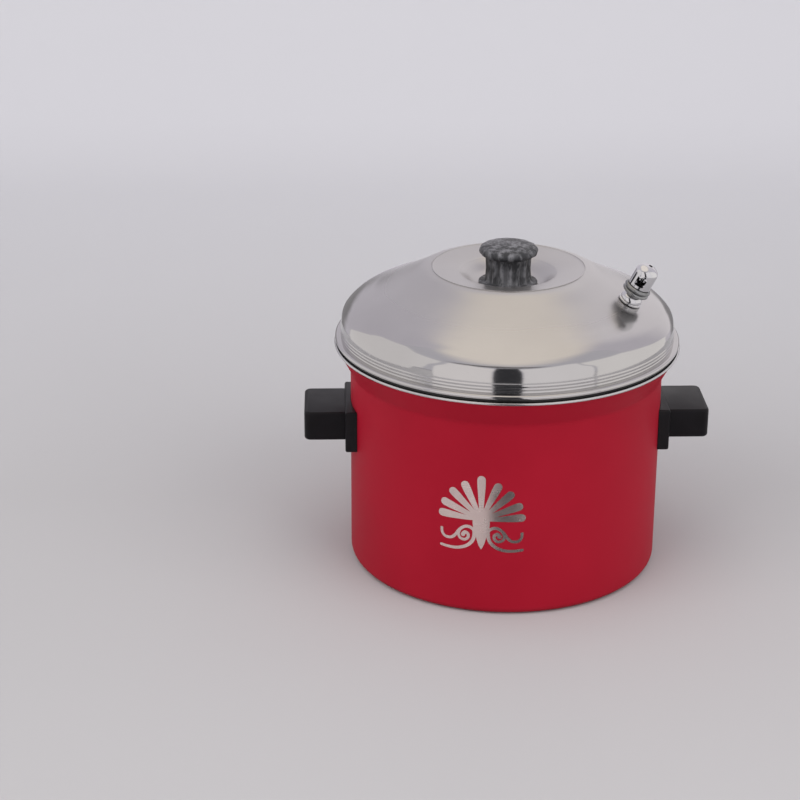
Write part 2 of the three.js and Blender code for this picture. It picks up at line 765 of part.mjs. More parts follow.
const standGroup = new THREE.Group();
standGroup.add(piece('stand_foot', standFoot(), brightSteel));
standGroup.add(piece('stand_rod', standRod(), brightSteel));
for (let i = 0; i < plateCount; i += 1) {
  const height = firstPlate + i * platePitch;
  const below = i === 0 ? footHubTop : height - platePitch;
  standGroup.add(piece(`spacer_${i + 1}`, spacer(below, height - plateSheet), brightSteel));
  const plate = piece(`idli_plate_${i + 1}`, idliPlate(), brightSteel);
  plate.position.z = height;
  plate.rotation.z = (i + 1) % 2 * Math.PI / cupsPerPlate;
  standGroup.add(plate);
}
standGroup.add(piece('top_washer', topWasher(), brightSteel));
standGroup.add(piece('wing_nut', wingNut(), brightSteel));
steamer.add(standGroup);

const lidGroup = new THREE.Group();
lidGroup.position.z = potHeight;
lidGroup.add(piece('lid_shell', lidShell(), polishedSteel));
const knobGroup = new THREE.Group();
knobGroup.position.z = dishFloor;
const lidKnob = piece('lid_knob', knob(), speckledBakelite);
lidKnob.position.z = seatGap;
knobGroup.add(lidKnob);
for (const [name, shape] of [['knob_washer', knobWasher()], ['knob_screw', knobScrew()]]) {
  const under = piece(name, shape, brightSteel);
  under.position.z = -lidSheet;
  knobGroup.add(under);
}
lidGroup.add(knobGroup);

const ventTurn = new THREE.Group();
ventTurn.rotation.z = ventAngle;
const ventGroup = new THREE.Group();
ventGroup.position.set(ventPlace, 0, vent.height);
ventGroup.rotation.y = vent.tilt;
ventGroup.add(piece('vent_stem', ventStem(), chrome));
ventGroup.add(piece('vent_gasket', ventGasket(), silicone));
ventGroup.add(piece('vent_nut', ventNut(), brightSteel));
ventGroup.add(piece('whistle_collar', whistleCollar(), chrome));
ventGroup.add(piece('whistle_cap', whistleCap(), chrome));
ventGroup.add(piece('vent_pin', ventPin(), brightSteel));
ventTurn.add(ventGroup);
lidGroup.add(ventTurn);
steamer.add(lidGroup);

export default steamer;
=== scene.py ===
import math

import bmesh
import bpy
from mathutils import Matrix, Vector


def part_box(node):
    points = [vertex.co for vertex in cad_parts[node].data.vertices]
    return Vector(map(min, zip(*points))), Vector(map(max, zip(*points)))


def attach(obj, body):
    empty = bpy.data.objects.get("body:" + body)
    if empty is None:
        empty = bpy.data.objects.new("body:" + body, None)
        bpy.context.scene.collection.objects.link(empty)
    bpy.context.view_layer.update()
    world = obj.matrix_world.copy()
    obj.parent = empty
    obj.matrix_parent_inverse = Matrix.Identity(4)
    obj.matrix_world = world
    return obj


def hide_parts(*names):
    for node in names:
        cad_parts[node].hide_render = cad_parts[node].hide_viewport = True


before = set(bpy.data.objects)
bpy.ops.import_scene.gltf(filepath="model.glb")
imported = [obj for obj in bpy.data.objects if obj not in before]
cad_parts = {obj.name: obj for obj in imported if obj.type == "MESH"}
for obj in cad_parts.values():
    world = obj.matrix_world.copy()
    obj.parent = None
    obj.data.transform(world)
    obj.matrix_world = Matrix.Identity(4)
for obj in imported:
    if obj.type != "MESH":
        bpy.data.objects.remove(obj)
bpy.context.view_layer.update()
print("frame loaded:", len(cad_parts), "nodes")

mm = 0.001
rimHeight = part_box("pot_shell")[1].z / mm  # the lid's pieces are measured up from here
seatGap = 0.3  # between pieces that rest on each other
edgeEase = 0.4  # how far the edges of turned pieces are eased
tipEase = 0.5  # and the ends of shanks, bosses and nuts
overrun = 3  # how far a cutter reaches past what it cuts


# working helpers

def deselectAll():
    if bpy.context.object and bpy.context.object.mode != "OBJECT":
        bpy.ops.object.mode_set(mode="OBJECT")
    bpy.ops.object.select_all(action="DESELECT")


def pick(piece):
    deselectAll()
    piece.select_set(True)
    bpy.context.view_layer.objects.active = piece


def applyPlace(piece):
    pick(piece)
    bpy.ops.object.transform_apply(location=True, rotation=True, scale=True)


def throwAway(piece):
    bpy.data.objects.remove(piece, do_unlink=True)


def arcPoints(centre, radius, start, end, steps):
    angles = [start + (end - start) * i / steps for i in range(steps + 1)]
    return [(centre[0] + radius * math.cos(a), centre[1] + radius * math.sin(a)) for a in angles]


def smoothLine(points, steps):
    # a curve through every point, each span cut into even steps
    line = []
    for i in range(len(points) - 1):
        p0, p1, p2, p3 = [Vector(points[min(max(i + k, 0), len(points) - 1)]) for k in (-1, 0, 1, 2)]
        for step in range(steps):
            t = step / steps
            spot = 0.5 * (2 * p1 + (p2 - p0) * t + (2 * p0 - 5 * p1 + 4 * p2 - p3) * t * t
                          + (3 * p1 - p0 - 3 * p2 + p3) * t ** 3)
            line.append(tuple(spot))
    return line + [tuple(points[-1])]


def offsetLine(line, distance):
    moved = []
    for i, point in enumerate(line):
        before, after = Vector(line[max(i - 1, 0)]), Vector(line[min(i + 1, len(line) - 1)])
        along = (after - before).normalized()
        moved.append((point[0] - along.y * distance, point[1] + along.x * distance))
    return moved


def editWhole(piece):
    pick(piece)
    bpy.ops.object.mode_set(mode="EDIT")
    bpy.ops.mesh.select_all(action="SELECT")


def tidyMesh(piece):
    editWhole(piece)
    bpy.ops.mesh.remove_doubles(threshold=0.002 * mm)
    bpy.ops.mesh.normals_make_consistent(inside=False)
    bpy.ops.object.mode_set(mode="OBJECT")


def smoothShade(piece, angle=32):
    pick(piece)
    bpy.ops.object.shade_smooth_by_angle(angle=math.radians(angle))


def spinOutline(name, outline, steps=96):
    # one vertex drawn along the outline, then spun round Z; sizes in millimetres
    deselectAll()
    start = outline[0]
    bpy.ops.mesh.primitive_plane_add(size=mm, location=(start[0] * mm, 0, start[1] * mm))
    piece = bpy.context.object
    piece.name = name
    applyPlace(piece)
    editWhole(piece)
    bpy.ops.mesh.select_mode(type="VERT")
    bpy.ops.mesh.merge(type="CENTER")
    for (r0, z0), (r1, z1) in zip(outline, outline[1:]):
        bpy.ops.mesh.extrude_vertices_move(
            TRANSFORM_OT_translate={"value": ((r1 - r0) * mm, 0, (z1 - z0) * mm)})
    bpy.ops.mesh.select_all(action="SELECT")
    bpy.ops.mesh.spin(steps=steps, angle=2 * math.pi, center=(0, 0, 0), axis=(0, 0, 1))
    bpy.ops.object.mode_set(mode="OBJECT")
    tidyMesh(piece)
    smoothShade(piece)
    return piece


def ringSection(inner, outer, low, high, ease=edgeEase):
    # a flat ring's outline, its outer edges eased
    return [(inner, low), (outer - ease, low), (outer, low + ease), (outer, high - ease),
            (outer - ease, high), (inner, high), (inner, low)]


def addBox(name, size, centre):
    deselectAll()
    bpy.ops.mesh.primitive_cube_add(size=1, location=[v * mm for v in centre])
    piece = bpy.context.object
    piece.name = name
    piece.scale = [v * mm for v in size]
    applyPlace(piece)
    return piece


def addCylinder(name, radius, bottom, top, sides=48):
    deselectAll()
    bpy.ops.mesh.primitive_cylinder_add(vertices=sides, radius=radius * mm, depth=(top - bottom) * mm,
                                        location=(0, 0, (bottom + top) / 2 * mm))
    piece = bpy.context.object
    piece.name = name
    applyPlace(piece)
    return piece


def movePiece(piece, matrix):
    piece.matrix_world = matrix @ piece.matrix_world
    applyPlace(piece)
    return piece


def shift(x=0, y=0, z=0):
    return Matrix.Translation((x * mm, y * mm, z * mm))


def turn(degrees, axis="Z"):
    return Matrix.Rotation(math.radians(degrees), 4, axis)


def combine(piece, other, operation):
    pick(piece)
    bpy.ops.object.modifier_add(type="BOOLEAN")
    modifier = piece.modifiers[-1]
    modifier.operation = operation
    modifier.solver = "EXACT"
    modifier.object = other
    bpy.ops.object.modifier_apply(modifier=modifier.name)
    throwAway(other)
    return piece


def roundEdges(piece, width, segments=3, angle=30):
    pick(piece)
    bpy.ops.object.modifier_add(type="BEVEL")
    modifier = piece.modifiers[-1]
    modifier.width = width * mm
    modifier.segments = segments
    modifier.limit_method = "ANGLE"
    modifier.angle_limit = math.radians(angle)
    modifier.harden_normals = False
    bpy.ops.object.modifier_apply(modifier=modifier.name)
    smoothShade(piece)
    return piece


def editEdges(piece, wanted):
    # edit mode, with only the wanted edges selected
    pick(piece)
    bpy.ops.object.mode_set(mode="EDIT")
    mesh = bmesh.from_edit_mesh(piece.data)
    bpy.ops.mesh.select_mode(type="EDGE")
    bpy.ops.mesh.select_all(action="DESELECT")
    for edge in mesh.edges:
        edge.select_set(wanted(*[vertex.co for vertex in edge.verts]))
    bmesh.update_edit_mesh(piece.data)


def roundUprights(piece, width, segments=8):
    # rounds a box's four upright edges
    editEdges(piece, lambda one, other: (one - other).xy.length < 0.01 * mm)
    bpy.ops.mesh.bevel(offset=width * mm, segments=segments)
    bpy.ops.object.mode_set(mode="OBJECT")


def copyPiece(piece, name, matrix):
    made = piece.copy()
    made.data = piece.data.copy()
    made.name = name
    bpy.context.collection.objects.link(made)
    return movePiece(made, matrix)


def dress(piece, body, slotName, *materials, replaces=()):
    piece.data.materials.clear()
    for material in materials:
        piece.data.materials.append(material)
    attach(piece, body)
    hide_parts(*(replaces or [piece.name.removeprefix("fine_")]))
    return piece


# shader helpers

def feed(tree, node, inputs):
    # links each input to a socket, or sets it to a plain value
    for name, value in inputs.items():
        if isinstance(value, bpy.types.NodeSocket):
            tree.links.new(value, node.inputs[name])
        else:
            node.inputs[name].default_value = value


def addNode(tree, kind, inputs=None, **settings):
    node = tree.nodes.new(kind)
    for name, value in settings.items():
        setattr(node, name, value)
    feed(tree, node, inputs or {})
    return node


def splitPlace(tree, vector):
    return addNode(tree, "ShaderNodeSeparateXYZ", {"Vector": vector}).outputs


def addMath(tree, operation, *values, clamp=False):
    node = addNode(tree, "ShaderNodeMath", dict(enumerate(values)), operation=operation, use_clamp=clamp)
    return node.outputs[0]


def addNoise(tree, vector, scale, detail, rough=0.5):
    return addNode(tree, "ShaderNodeTexNoise", {"Vector": vector, "Scale": scale, "Detail": detail,
                                                "Roughness": rough}).outputs["Fac"]


def mixColour(tree, amount, first, second):
    node = addNode(tree, "ShaderNodeMix", {0: amount, 6: first, 7: second}, data_type="RGBA")
    return node.outputs[2]


def ranged(tree, value, low, high, fromLow=0.3, fromHigh=0.7):
    node = addNode(tree, "ShaderNodeMapRange", {"Value": value, "From Min": fromLow, "From Max": fromHigh,
                                                "To Min": low, "To Max": high})
    return node.outputs[0]


def newGroup(name, numbers, results):
    # a node group that reads a place and plain numbers, and gives masks
    tree = bpy.data.node_groups.new(name, "ShaderNodeTree")
    tree.interface.new_socket(name="Vector", in_out="INPUT", socket_type="NodeSocketVector")
    for label, value in numbers.items():
        socket = tree.interface.new_socket(name=label, in_out="INPUT", socket_type="NodeSocketFloat")
        socket.default_value = value
    for label in results:
        tree.interface.new_socket(name=label, in_out="OUTPUT", socket_type="NodeSocketFloat")
    return tree, tree.nodes.new("NodeGroupInput").outputs, tree.nodes.new("NodeGroupOutput")


def makeSpunGroup():
    # polishing lines that run round the axis, and the soft smudges of handling
    tree, given, result = newGroup("spunPolish", {"LineScale": 900.0, "SmudgeScale": 14.0},
                                   ["Lines", "Smudge"])
    apart = splitPlace(tree, given["Vector"])
    squares = [addMath(tree, "MULTIPLY", apart[axis], apart[axis]) for axis in "XY"]
    reach = addMath(tree, "SQRT", addMath(tree, "ADD", *squares))
    onto = addNode(tree, "ShaderNodeCombineXYZ", {"X": reach, "Y": 0.0, "Z": apart["Z"]})
    feed(tree, result, {"Lines": addNoise(tree, onto.outputs[0], given["LineScale"], 3.0, 0.6),
                        "Smudge": addNoise(tree, given["Vector"], given["SmudgeScale"], 4.0)})
    return tree


def makeGrainGroup():
    # fine grain and broad drift, for mouldings and coats
    tree, given, result = newGroup("fineGrain", {"GrainScale": 700.0, "DriftScale": 18.0},
                                   ["Grain", "Drift"])
    feed(tree, result, {"Grain": addNoise(tree, given["Vector"], given["GrainScale"], 2.0),
                        "Drift": addNoise(tree, given["Vector"], given["DriftScale"], 3.0)})
    return tree


def makeRubGroup():
    # where hands, tables and racks have rubbed: a broken mask on convex edges
    tree, given, result = newGroup("edgeRub", {"Scale": 60.0, "Amount": 0.5}, ["Mask"])
    shape = addNode(tree, "ShaderNodeNewGeometry")
    edge = ranged(tree, shape.outputs["Pointiness"], 0.0, 1.0, 0.52, 0.6)
    broken = addNoise(tree, given["Vector"], given["Scale"], 5.0)
    rubbed = addMath(tree, "MULTIPLY", addMath(tree, "MULTIPLY", edge, broken), given["Amount"], clamp=True)
    feed(tree, result, {"Mask": rubbed})
    return tree


spunPolish = makeSpunGroup()
fineGrain = makeGrainGroup()
edgeRub = makeRubGroup()


def newMaterial(name):
    material = bpy.data.materials.new(name)
    material.use_nodes = True
    tree = material.node_tree
    shader = tree.nodes["Principled BSDF"]
    place = addNode(tree, "ShaderNodeTexCoord")
    return material, tree, shader, place.outputs["Object"]


def useGroup(tree, group, inputs):
    return addNode(tree, "ShaderNodeGroup", inputs, node_tree=group).outputs


def addBump(tree, shader, height, strength, distance):
    bump = addNode(tree, "ShaderNodeBump", {"Height": height, "Strength": strength, "Distance": distance})
    feed(tree, shader, {"Normal": bump.outputs[0]})


def steelMaterial(name):
    look = finishes[name]
    material, tree, shader, place = newMaterial(name)
    polish = useGroup(tree, spunPolish, {"Vector": place, "LineScale": look["lines"],
                                         "SmudgeScale": look["smudges"]})
    colour = mixColour(tree, ranged(tree, polish["Smudge"], 0.0, 1.0), look["dark"], look["light"])
    mixed = addMath(tree, "ADD", addMath(tree, "MULTIPLY", polish["Lines"], 0.3), polish["Smudge"])
    rough = ranged(tree, mixed, *look["rough"], 0.4, 0.9)
    if "softAbove" in look:  # the dome is brushed softer than the skirt below it
        low, high = [height * mm for height in look["softAbove"]]
        soft = ranged(tree, splitPlace(tree, place)["Z"], 0.0, look["soft"], low, high)
        rough = addMath(tree, "ADD", rough, soft)
    feed(tree, shader, {"Base Color": colour, "Roughness": rough, "Metallic": look.get("metal", 1.0)})
    addBump(tree, shader, polish["Lines"], look["bump"], 0.02 * mm)
    return material


def coatMaterial(name):
    look = finishes[name]
    material, tree, shader, place = newMaterial(name)
    grain = useGroup(tree, fineGrain, {"Vector": place, "GrainScale": look["grain"],
                                       "DriftScale": look["drift"]})
    rub = useGroup(tree, edgeRub, {"Vector": place, "Scale": look["rubScale"], "Amount": look["rub"]})
    base = mixColour(tree, ranged(tree, grain["Drift"], 0.0, 1.0), look["dark"], look["light"])
    worn = mixColour(tree, rub["Mask"], base, look["worn"])
    feed(tree, shader, {"Base Color": worn, "Roughness": ranged(tree, grain["Drift"], *look["rough"]),
                        "Specular IOR Level": look["specular"]})
    addBump(tree, shader, grain["Grain"], look["bump"], 0.05 * mm)
    return material


def speckledMaterial(name):
    # mottled moulding: streaks drawn out along the flutes, with painted shade down in them
    look = finishes[name]
    material, tree, shader, place = newMaterial(name)
    drawn = addNode(tree, "ShaderNodeMapping", {"Vector": place, "Scale": (1, 1, look["drawn"])})
    grain = useGroup(tree, fineGrain, {"Vector": drawn.outputs[0], "GrainScale": look["grain"],
                                       "DriftScale": look["drift"]})
    cloud = addNoise(tree, drawn.outputs[0], look["cloud"], 3.0)
    mottle = ranged(tree, addMath(tree, "ADD", cloud, grain["Drift"]), 0.0, 1.0, *look["mottle"])
    apart = splitPlace(tree, place)
    angle = addMath(tree, "ARCTAN2", apart["Y"], apart["X"])
    wave = addMath(tree, "COSINE", addMath(tree, "MULTIPLY", angle, look["flutes"]))
    # painted shade: the colour is darkened down in each flute, by the share fluteShade
    ridge = ranged(tree, wave, look["fluteShade"], 1.0, -0.6, 0.8)
    low, high = [height * mm for height in look["plainAbove"]]
    plain = ranged(tree, apart["Z"], 0.0, 1.0, low, high)  # no painted flute shade on the cap's crown
    amount = addMath(tree, "MULTIPLY", mottle, addMath(tree, "MAXIMUM", ridge, plain))
    feed(tree, shader, {"Base Color": mixColour(tree, amount, look["dark"], look["light"]),
                        "Roughness": ranged(tree, grain["Grain"], *look["rough"]),
                        "Specular IOR Level": look["specular"]})
    addBump(tree, shader, grain["Grain"], look["bump"], 0.1 * mm)
    return material


finishes = {
    "redCoat": {"dark": (0.37, 0.005, 0.020, 1), "light": (0.43, 0.008, 0.026, 1),
                "worn": (0.43, 0.045, 0.06, 1), "rough": (0.50, 0.60), "specular": 0.11, "bump": 0.05,
                "grain": 500.0, "drift": 9.0, "rub": 0.25, "rubScale": 90.0},
    "lidSteel": {"dark": (0.53, 0.52, 0.515, 1), "light": (0.59, 0.58, 0.575, 1), "rough": (0.06, 0.10),
                 "bump": 0.06, "lines": 1500.0, "smudges": 11.0, "soft": 0.24,
                 "softAbove": (rimHeight + 27, rimHeight + 45)},
    "brightSteel": {"dark": (0.55, 0.55, 0.55, 1), "light": (0.66, 0.66, 0.66, 1), "rough": (0.16, 0.30),
                    "bump": 0.12, "lines": 1200.0, "smudges": 22.0},
    # near-black steel, painted shade for the lid's seam and the whistle cap's inside
    "paintedShadeSteel": {"dark": (0.03, 0.03, 0.03, 1), "light": (0.06, 0.06, 0.06, 1), "rough": (0.3, 0.5),
                  "bump": 0.1, "lines": 1200.0, "smudges": 30.0},
    "collarSteel": {"dark": (0.20, 0.205, 0.21, 1), "light": (0.34, 0.345, 0.35, 1), "rough": (0.14, 0.24),
                    "bump": 0.03, "lines": 2500.0, "smudges": 160.0},
    "chrome": {"dark": (0.60, 0.60, 0.615, 1), "light": (0.70, 0.70, 0.715, 1), "rough": (0.07, 0.14),
               "bump": 0.02, "lines": 2500.0, "smudges": 60.0},
    "etchedSteel": {"dark": (0.72, 0.58, 0.55, 1), "light": (0.84, 0.70, 0.66, 1), "rough": (0.20, 0.30),
                    "metal": 0.92, "bump": 0.10, "lines": 2200.0, "smudges": 70.0},
    "bakelite": {"dark": (0.003, 0.002, 0.003, 1), "light": (0.006, 0.005, 0.007, 1),
                 "worn": (0.035, 0.032, 0.032, 1), "rough": (0.30, 0.42), "specular": 0.17, "bump": 0.12,
                 "grain": 1400.0, "drift": 40.0, "rub": 0.35, "rubScale": 160.0},
    "silicone": {"dark": (0.26, 0.26, 0.25, 1), "light": (0.33, 0.33, 0.31, 1),
                 "worn": (0.4, 0.4, 0.38, 1), "rough": (0.6, 0.8), "specular": 0.4, "bump": 0.15,
                 "grain": 1200.0, "drift": 60.0, "rub": 0.2, "rubScale": 200.0},
    "speckledBakelite": {"dark": (0.028, 0.029, 0.032, 1), "light": (0.18, 0.18, 0.19, 1),
                         "rough": (0.36, 0.55), "specular": 0.35, "bump": 0.12, "grain": 900.0,
                         "drift": 420.0, "cloud": 150.0, "drawn": 0.45, "flutes": 16.0, "fluteShade": 0.35,
                         "mottle": (0.88, 1.2), "plainAbove": (rimHeight + 72.5, rimHeight + 75.5)},
}

redCoat, bakelite, silicone = [coatMaterial(name) for name in ("redCoat", "bakelite", "silicone")]
lidSteel, collarSteel, paintedShadeSteel = [steelMaterial(name) for name in ("lidSteel", "collarSteel", "paintedShadeSteel")]
brightSteel, chrome, etchedSteel = [steelMaterial(name) for name in ("brightSteel", "chrome", "etchedSteel")]
speckledBakelite = speckledMaterial("speckledBakelite")
print("materials made")


# pot: one sheet with a round bottom corner, a conical mouth and a rolled bare rim

potDims = {"radius": 120, "wall": 1, "corner": 6, "mouth": 132.4, "bead": 1.1, "flare": 28, "fillet": 9,
           "cornerSteps": 10, "filletSteps": 8, "beadSteps": 18, "spin": 192}


def makePot():
    d = potDims
    lean = math.radians(d["flare"])
    along = Vector((math.sin(lean), math.cos(lean)))
    outward = Vector((along.y, -along.x))
    bead = Vector((d["mouth"] - d["bead"], rimHeight - d["bead"]))
    inset = d["bead"] - d["wall"]
    meet = bead - outward * inset - along * math.sqrt(d["bead"] ** 2 - inset ** 2)
    flareStart = meet.y - (meet.x - d["radius"]) / math.tan(lean)
    tangent = d["fillet"] * math.tan(lean / 2)
    outer = [(0, 0), (d["radius"] * 0.5, 0)]
    outer += arcPoints((d["radius"] - d["corner"], d["corner"]), d["corner"], -math.pi / 2, 0,
                       d["cornerSteps"])
    outer += arcPoints((d["radius"] + d["fillet"], flareStart - tangent), d["fillet"], math.pi,
                       math.pi - lean, d["filletSteps"])
    outer.append(tuple(meet))
    rimStart = math.atan2(meet.y - bead.y, meet.x - bead.x)
    rim = arcPoints(bead, d["bead"], rimStart, math.pi - lean, d["beadSteps"])[1:]
    inner = offsetLine(outer, d["wall"])[:-1][::-1]
    inner[-1] = (0, d["wall"])
    pot = spinOutline("fine_pot_shell", outer + rim + inner, d["spin"])
    coatTop = meet.y * mm
    dress(pot, "pot", "red_enamel", redCoat, brightSteel)
    for face in pot.data.polygons:
        centre = face.center
        flat = Vector((centre.x, centre.y, 0))
        outside = face.normal.dot(flat) > 0.1 * flat.length or face.normal.z < -0.2
        under = face.normal.z < -0.9 and flat.length < (d["radius"] - d["corner"]) * mm
        face.material_index = 0 if outside and not under and centre.z < coatTop else 1


makePot()
print("pot made")

# ornament: a silver palmette on the front, nine petals over two pairs of scrolls

# points go across and up from its middle, which lies "below" millimetres under the rim; "slope" is how
# much it falls for each millimetre to the right
palmetteDims = {
    "turn": -12.29, "below": 92.4, "lean": -0.6, "slope": 0.006, "raise": 0.05, "thick": 0.12, "strip": 2.0,
    "wide": 32, "drawnThick": 4,  # the strokes are joined thick and pressed thin afterwards
    "tips": [(0, 29.0), (12.2, 23.9), (21.3, 17.6), (27.7, 8.3), (29.6, -0.8)],
    "roots": [(0, -2), (1.4, -2), (2.8, -2.6), (3.8, -3.6), (4.6, -5.2)],
    "tipWidth": 6.3, "rootWidth": 2.7,
    "heart": [(0, 4), (3.4, 2.0), (5.6, -1.6), (6.4, -6.4), (6.1, -11.6), (4.9, -16.6), (3.8, -20.2),
              (2.7, -24.2), (1.7, -27.0), (0, -30.0)],
    "hook": [(30.2, -15.2), (29.9, -19.4), (27.4, -22.4), (23.0, -22.6), (19.6, -20.0), (16.6, -15.6),
             (12.6, -12.4), (8.6, -12.2), (5.4, -14.4)],
    "curl": [(16.0, -15.2), (17.2, -18.6), (15.9, -21.8), (12.6, -22.9), (9.9, -21.0), (9.9, -18.0),
             (12.3, -16.8), (13.6, -18.8)],
    "sweep": [(5.0, -14.4), (5.2, -19.2), (7.0, -24.0), (11.4, -28.0), (17.8, -30.2), (24.4, -30.4),
              (30.6, -29.6)],
    "hookWidth": 2.3, "curlWidth": 2.2, "sweepWidth": 3.0, "ballWidth": 3.4,
}


def strokeOutline(line, widthAt):
    left, right = [], []
    for i, point in enumerate(line):
        before, after = Vector(line[max(i - 1, 0)]), Vector(line[min(i + 1, len(line) - 1)])
        along = (after - before).normalized()
        side = Vector((-along.y, along.x)) * widthAt(i / (len(line) - 1)) / 2
        left.append(tuple(Vector(point) + side))
        right.append(tuple(Vector(point) - side))
    return left + right[::-1]


def roundEnded(line, widthAt, steps=6):
    sides = strokeOutline(line, widthAt)
    tip, before = Vector(line[-1]), Vector(line[-2])
    heading = math.atan2(tip.y - before.y, tip.x - before.x)
    cap = arcPoints(tip, widthAt(1) / 2, heading + math.pi / 2, heading - math.pi / 2, steps)[1:-1]
    middle = len(sides) // 2
    return sides[:middle] + cap + sides[middle:]


def flatShape(name, outline, thick):
    # a filled outline in X and Z, raised along Y, built by drawing its edge and filling it
    deselectAll()
    bpy.ops.mesh.primitive_circle_add(vertices=len(outline), radius=mm, fill_type="NGON")
    shape = bpy.context.object
    shape.name = name
    for vertex, (x, z) in zip(shape.data.vertices, outline):
        vertex.co = (x * mm, 0, z * mm)
    editWhole(shape)
    bpy.ops.mesh.extrude_region_move(TRANSFORM_OT_translate={"value": (0, thick * mm, 0)})
    bpy.ops.object.mode_set(mode="OBJECT")
    tidyMesh(shape)
    return shape


def makePalmette():
    d = palmetteDims
    thick = d["drawnThick"]
    outlines = []
    for side in (1, -1):
        for i, (tip, root) in enumerate(zip(d["tips"], d["roots"])):
            if i == 0 and side < 0:
                continue
            start = Vector((root[0] * side, root[1]))
            end = (tip[0] * side, tip[1] - d["tipWidth"] / 2 * 0.8)
            line = [start.lerp(end, t / 6) for t in range(7)]
            outlines.append(roundEnded(
                line, lambda t: d["rootWidth"] + (d["tipWidth"] - d["rootWidth"]) * min(t * 1.15, 1)))
        scrolls = ((d["hook"], lambda t: d["hookWidth"] * (0.9 + 0.2 * t)),
                   (d["curl"], lambda t: d["curlWidth"] + (d["ballWidth"] - d["curlWidth"]) * t ** 6),
                   (d["sweep"], lambda t: d["sweepWidth"] * (1 - 0.3 * t)))
        for line, widthAt in scrolls:
            outlines.append(roundEnded(smoothLine([(x * side, z) for x, z in line], 4), widthAt))
    half = smoothLine(d["heart"], 4)
    outlines.append(half + [(-x, z) for x, z in half[-2:0:-1]])
    motif = None
    for i, outline in enumerate(outlines):  # each a hair thicker, so that no two faces share a plane
        shape = flatShape("stroke", outline, thick + i * 0.01)
        shape.location.y = -i * 0.005 * mm
        applyPlace(shape)
        motif = combine(motif, shape, "UNION") if motif else shape
    motif.name = "palmette"
    for vertex in motif.data.vertices:
        vertex.co.z -= vertex.co.x * d["slope"]
    movePiece(motif, shift(z=rimHeight - d["below"]) @ turn(d["lean"], "Y"))
    strips = int(d["wide"] / d["strip"])
    pick(motif)
    bpy.ops.object.mode_set(mode="EDIT")
    for i in range(-strips, strips + 1):
        bpy.ops.mesh.select_all(action="SELECT")
        bpy.ops.mesh.bisect(plane_co=(i * d["strip"] * mm, 0, 0), plane_no=(1, 0, 0))
    bpy.ops.object.mode_set(mode="OBJECT")
    back = potDims["radius"] + d["raise"]
    for vertex in motif.data.vertices:  # wrapped on the pot's wall, outer faces kept d["thick"] proud
        proud = d["thick"] if vertex.co.y < thick / 2 * mm else 0
        around = vertex.co.x / (back * mm)
        reach = (back + proud) * mm
        vertex.co = (reach * math.sin(around), -reach * math.cos(around), vertex.co.z)
    tidyMesh(motif)
    movePiece(motif, turn(d["turn"]))
    dress(motif, "pot", "steel", etchedSteel, replaces=["pot_shell"])


makePalmette()
print("palmette made")

# side handles: a curved back plate and a blunt block grip, held by a steel bracket and one screw

handleDims = {"plateWidth": 66, "plateHeight": 33, "plateDrop": 47.5, "plateFace": 124.6,
              "plateRound": 1.6, "gripWidth": 52, "gripRise": 7.5, "gripHeight": 23, "gripReach": 156,
              "gripCorner": 5, "gripRound": 2, "bracketWidth": 22, "bracketHeight": 18, "bracketPlate": 1.5,
              "bracketRound": 0.6, "bossRadius": 4.5, "bossLength": 14,
              "screwRadius": 2, "headRadius": 3.8, "headHeight": 2.4, "recess": 5, "screwGrip": 9,
              "slotWidth": 0.9, "slotDepth": 1.1}
handlePlateBottom = rimHeight - handleDims["plateDrop"] - handleDims["plateHeight"]
gripMiddle = handlePlateBottom + handleDims["gripRise"] + handleDims["gripHeight"] / 2
bossEnd = potDims["radius"] + seatGap + handleDims["bracketPlate"] + handleDims["bossLength"]
blankStart = potDims["radius"] * 0.8  # blanks start well within the pot's wall, which is then cut away


def alongX(piece):
    return movePiece(piece, shift(z=gripMiddle) @ turn(90, "Y"))


def makeHandle():
    d = handleDims
    plate = addBox("fine_right_handle",
                   (d["plateFace"] - blankStart, d["plateWidth"], d["plateHeight"]),
                   ((d["plateFace"] + blankStart) / 2, 0, handlePlateBottom + d["plateHeight"] / 2))
    roundEdges(plate, d["plateRound"], 4)
    grip = addBox("grip", (d["gripReach"] - blankStart, d["gripWidth"], d["gripHeight"]),
                  ((d["gripReach"] + blankStart) / 2, 0, gripMiddle))
    roundUprights(grip, d["gripCorner"])
    roundEdges(grip, d["gripRound"], 4)
    wall = addCylinder("wall", potDims["radius"] + seatGap, 0, rimHeight, potDims["spin"])
    handle = combine(combine(plate, grip, "UNION"), wall, "DIFFERENCE")
    pocketDeep = potDims["radius"] + d["bracketPlate"] + 2 * seatGap
    pocket = addBox("pocket", (pocketDeep - blankStart, d["bracketWidth"] + 2 * seatGap,
                               d["bracketHeight"] + 2 * seatGap),
                    ((pocketDeep + blankStart) / 2, 0, gripMiddle))
    handle = combine(handle, pocket, "DIFFERENCE")
    headSeat = d["gripReach"] - d["recess"]
    bores = ((d["bossRadius"] + seatGap, blankStart, bossEnd + seatGap),
             (d["screwRadius"] + seatGap, blankStart, d["gripReach"]),
             (d["headRadius"] + 2 * seatGap, headSeat, d["gripReach"] + d["recess"]))
    for radius, start, end in bores:
        handle = combine(handle, alongX(addCylinder("bore", radius, start, end)), "DIFFERENCE")
    smoothShade(handle)
    return handle


